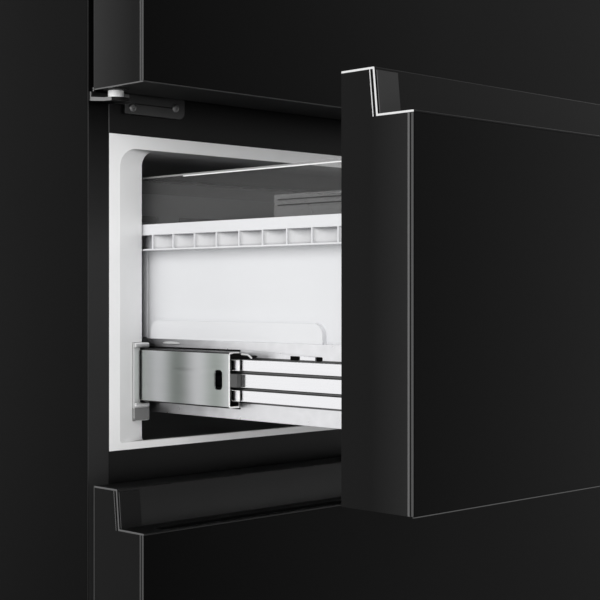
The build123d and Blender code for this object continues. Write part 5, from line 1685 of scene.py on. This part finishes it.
@dataclass
class BinTrim(DrawerPart):
    """What the drawer bin's moulding adds: scooped rim cells and a rounded back wall."""

    rim_high: float
    shelf: float
    rim_inset: float = 62.5
    wall_inset: float = 74.0
    recess: float = 1.0
    band: float = 8.7
    cell: float = 11.3
    pitch: float = 26.1
    rib: float = 1.2
    first_rib: float = 263.2
    cells: int = 9
    rows: int = 5
    columns: int = 8
    scoop: float = 7.5
    scoop_low: float = 0.35
    scoop_round: float = 0.7
    back: float = 304.5
    back_radius: float = 20.0
    back_steps: int = 10
    back_bevel: float = 0.4

    def build(self) -> None:
        """Mould both."""
        self.scoops()
        self.back_wall()

    def scoops(self) -> None:
        """Close each rim cell with a shallow scoop, deepest under the band, in a darker white that is painted
        shade under the rim.
        """
        work = MeshWork()
        for index in range(1, self.cells + 1):
            start = self.first_rib - self.out + self.rib / 2 - index * self.pitch
            work.skin(self.scoop_cell(start, start + self.pitch - self.rib))
        piece = work.piece(self.named("bin_rim_scoops"), SHADED_RIM_CELL, self.drawer_body, "bin_white")
        smooth_where(piece, lambda normal: abs(normal.x) > 0.3)

    def scoop_cell(self, start: float, end: float) -> list[list[Point]]:
        """Give the rings of one scoop, a closed block with a hollowed face.

        Args:
            start: depth where the cell starts.
            end: depth where it ends.

        Returns:
            The rings, from start to end.
        """
        top = self.rim_high - self.band
        outer, inner = self.rim_inset + self.recess - HALF, self.wall_inset + self.recess - HALF
        rings = []
        for column in range(self.columns + 1):
            across = column / self.columns
            depth = start + across * (end - start)
            hollow = self.scoop * math.sin(math.pi * across) ** self.scoop_round
            ring = []
            for row in range(self.rows + 1):
                up = row / self.rows
                share = self.scoop_low + (1.0 - self.scoop_low) * up
                ring.append((outer + hollow * share, depth, top - self.cell * (1.0 - up)))
            ring += [(inner, depth, top), (inner, depth, top - self.cell)]
            rings.append(ring)
        return rings

    def back_wall(self) -> None:
        """Round the bin's back corners out to its rim, over the whole height of the wall."""
        half = HALF - self.wall_inset
        radius = self.back_radius
        middle = self.back - self.out - radius
        arc = [math.pi / 2 * step / self.back_steps for step in range(self.back_steps + 1)]
        right = [(half + 0.1 - radius + radius * math.cos(a), middle + radius * math.sin(a)) for a in arc]
        inside = [(half - 1.5, middle), (half - 12.0, middle + 6.5)]
        outline = right + [(-x, depth) for x, depth in reversed(right)]
        outline += [(-x, depth) for x, depth in inside] + [(x, depth) for x, depth in reversed(inside)]
        low, high = self.shelf + 0.5, self.rim_high - self.band - self.cell - self.rib
        work = MeshWork()
        work.prism([(x, depth, low) for x, depth in outline], (0.0, 0.0, high - low))
        name = self.named("bin_back_wall")
        work.piece(name, BIN_WHITE, self.drawer_body, "bin_white", self.back_bevel, twin=False)


@dataclass
class DrawerTray(DrawerPart):
    """The smoky upper tray of a drawer, with its rolled lip, its side grips and the painted highlight and
    shade lines on it.

    The rings of shell and lip are given as (inset, height), from the tray's underside and from its top.
    """

    rim_high: float
    half_width: float = 273.2
    wall: float = 2.0
    front: float = 33.5
    back: float = 300.5
    lift: float = 0.3
    rise: float = 40.5
    radius: float = 5.0
    corner_steps: int = 6
    floor_outside: Outline = ((1.5, 0.0), (0.0, 1.5))
    shell_top: Outline = ((0.0, -1.0), (2.0, -1.0))
    floor_inside: Outline = ((2.0, 3.2), (3.5, 2.2))
    lip: Outline = ((-1.2, -0.6), (-0.6, 0.0), (1.8, 0.0), (2.2, -1.6), (0.1, -1.6), (-1.0, -1.4))
    seam_depth: float = 3.0
    bead_depths: tuple[float, ...] = (60.0, 120.0, 180.0, 240.0)
    bead_proud: float = 0.9
    bead_below: float = 1.9
    bead_radius: float = 0.55
    seam_ends: float = 12.0
    seam_along: Span = (-0.4, 0.3)
    seam_levels: Span = (-3.0, -1.8)
    grip_boxes: tuple[Box, ...] = (((0.0, 1.6), (37.5, 137.0), (0.6, 18.0)),)
    groove_boxes: tuple[Box, ...] = (
        ((-0.1, 1.7), (37.5, 133.0), (9.4, 10.3)),
        ((-0.1, 1.7), (37.5, 133.0), (13.6, 14.5)),
    )

    @property
    def tray_body(self) -> str:
        """The body that the tray rides on."""
        return body_of_node(f"{self.drawer}_drawer_tray")

    def rings(self, profile: Outline, level: float) -> list[list[Point]]:
        """Give rounded rectangles of the tray's outline.

        Args:
            profile: how far inside the outer wall each is, and how far over the level.
            level: the level.

        Returns:
            The rings.
        """
        rings = []
        middle = (self.front + self.back) / 2 - self.out
        for inset, above in profile:
            radius = self.radius - inset
            half_depth = (self.back - self.front) / 2 - inset
            half_width = self.half_width - inset
            ring = []
            for quarter, (sx, sy) in enumerate(((1, 1), (-1, 1), (-1, -1), (1, -1))):
                for step in range(self.corner_steps + 1):
                    turn = math.pi / 2 * (quarter + step / self.corner_steps)
                    x = sx * (half_width - radius) + radius * math.cos(turn)
                    depth = middle + sy * (half_depth - radius) + radius * math.sin(turn)
                    ring.append((x, depth, level + above))
            rings.append(ring)
        return rings

    def build(self) -> None:
        """Mould the tray."""
        low, high = self.rim_high + self.lift, self.rim_high + self.rise
        work = MeshWork()
        outside = self.rings(self.floor_outside, low) + self.rings(self.shell_top, high)
        work.skin(outside + self.rings(self.floor_inside, low))
        shell = work.piece(self.named("tray_shell"), TRAY_HAZE, self.tray_body, "clear_plastic", twin=False)
        smooth_where(shell, lambda normal: abs(normal.z) < 0.5)
        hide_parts(f"{self.drawer}_drawer_tray")
        lip = MeshWork()
        lip.skin(self.rings(self.lip, high), closed=True)
        piece = lip.piece(self.named("tray_lip"), TRAY_LIP, self.tray_body, "clear_plastic", twin=False)
        smooth_where(piece, lambda normal: True)
        # the back of the lip takes the painted shade line too
        seam = self.back - self.out - self.seam_depth
        paint_where(piece, TRAY_SHADE_LINE, lambda centre, normal: centre.y > seam)
        self.lines(high)
        self.grips(low)

    def lines(self, high: float) -> None:
        """Add the bead under the lip at the sides, white as a painted highlight, and a line of painted shade
        across the back.

        Args:
            high: level of the tray's top.
        """
        side, level = -self.half_width - self.bead_proud, high - self.bead_below
        bright = MeshWork()
        bright.tube([(side, depth - self.out, level) for depth in self.bead_depths], self.bead_radius, 8)
        bright.piece(self.named("tray_bead"), WHITE_EDGE_HIGHLIGHT, self.tray_body, "clear_plastic")
        end = self.half_width - self.seam_ends
        front, back = (self.back - self.out + along for along in self.seam_along)
        bottom, top = (high + level for level in self.seam_levels)
        dark = MeshWork()
        dark.block((-end, front, bottom), (end, back, top))
        dark.piece(self.named("tray_seam"), TRAY_SHADE_LINE, self.tray_body, "clear_plastic", twin=False)

    def grips(self, low: float) -> None:
        """Mould the ribbed grip inside each side wall, with painted shade lines in its grooves.

        Args:
            low: level of the tray's underside.
        """
        wall = self.wall + HALF - self.half_width
        for part, boxes, finish in (
            ("tray_grips", self.grip_boxes, TRAY_GRIP),
            ("tray_grip_grooves", self.groove_boxes, TRAY_SHADE_LINE),
        ):
            work = MeshWork()
            work.boxes(boxes, (wall, -self.out, low))
            work.piece(self.named(part), finish, self.tray_body, "clear_plastic")


def dress_nodes() -> None:
    """Give every CAD node its finish."""
    finishes = dict(NODE_FINISHES)
    for drawer in ("middle", "lower"):
        for part, finish in DRAWER_FINISHES.items():
            finishes[f"{drawer}_{part}"] = finish
    for name, node in frame["nodes"].items():
        finish = finishes.get(name)
        if finish is None:
            log.warning("node %s has no finish", name)
            continue
        for index in range(len(node.material_slots)):
            node.material_slots[index].material = finish.material()


def main() -> None:
    """Build the scene."""
    logging.basicConfig(level=logging.INFO, format="%(name)s: %(message)s")
    Studio().build()
    dress_nodes()
    CabinetFace().build()
    FridgeFront().build()
    MiddleHinge().build()
    DrawerFront(
        "middle",
        MIDDLE_OUT,
        low=423.0,
        high=703.7,
        face_high=673.6,
        body=MIDDLE_BODY,
        sheet=MIDDLE_HANDLE,
        cap=MIDDLE_CAP,
        cut=BRIGHT_EDGE_HIGHLIGHT,
        step_highlight=DIM_EDGE_HIGHLIGHT,
        back_glint=False,
    ).build()
    DrawerFront(
        "lower",
        0.0,
        low=70.0,
        high=410.9,
        face_high=380.8,
        body=LOWER_BODY,
        sheet=LOWER_HANDLE,
        cap=LOWER_CAP,
        cut=DIM_EDGE_HIGHLIGHT,
        step_highlight=EDGE_GLINT_AND_SHADOW_LINE,
        back_glint=True,
    ).build()
    for drawer, out, rail_middle, rim_high, shelf in DRAWERS:
        SlideSet(drawer, out, rail_middle).build()
        BinTrim(drawer, out, rim_high, shelf).build()
        DrawerTray(drawer, out, rim_high).build()


if __name__ == "__main__":
    main()
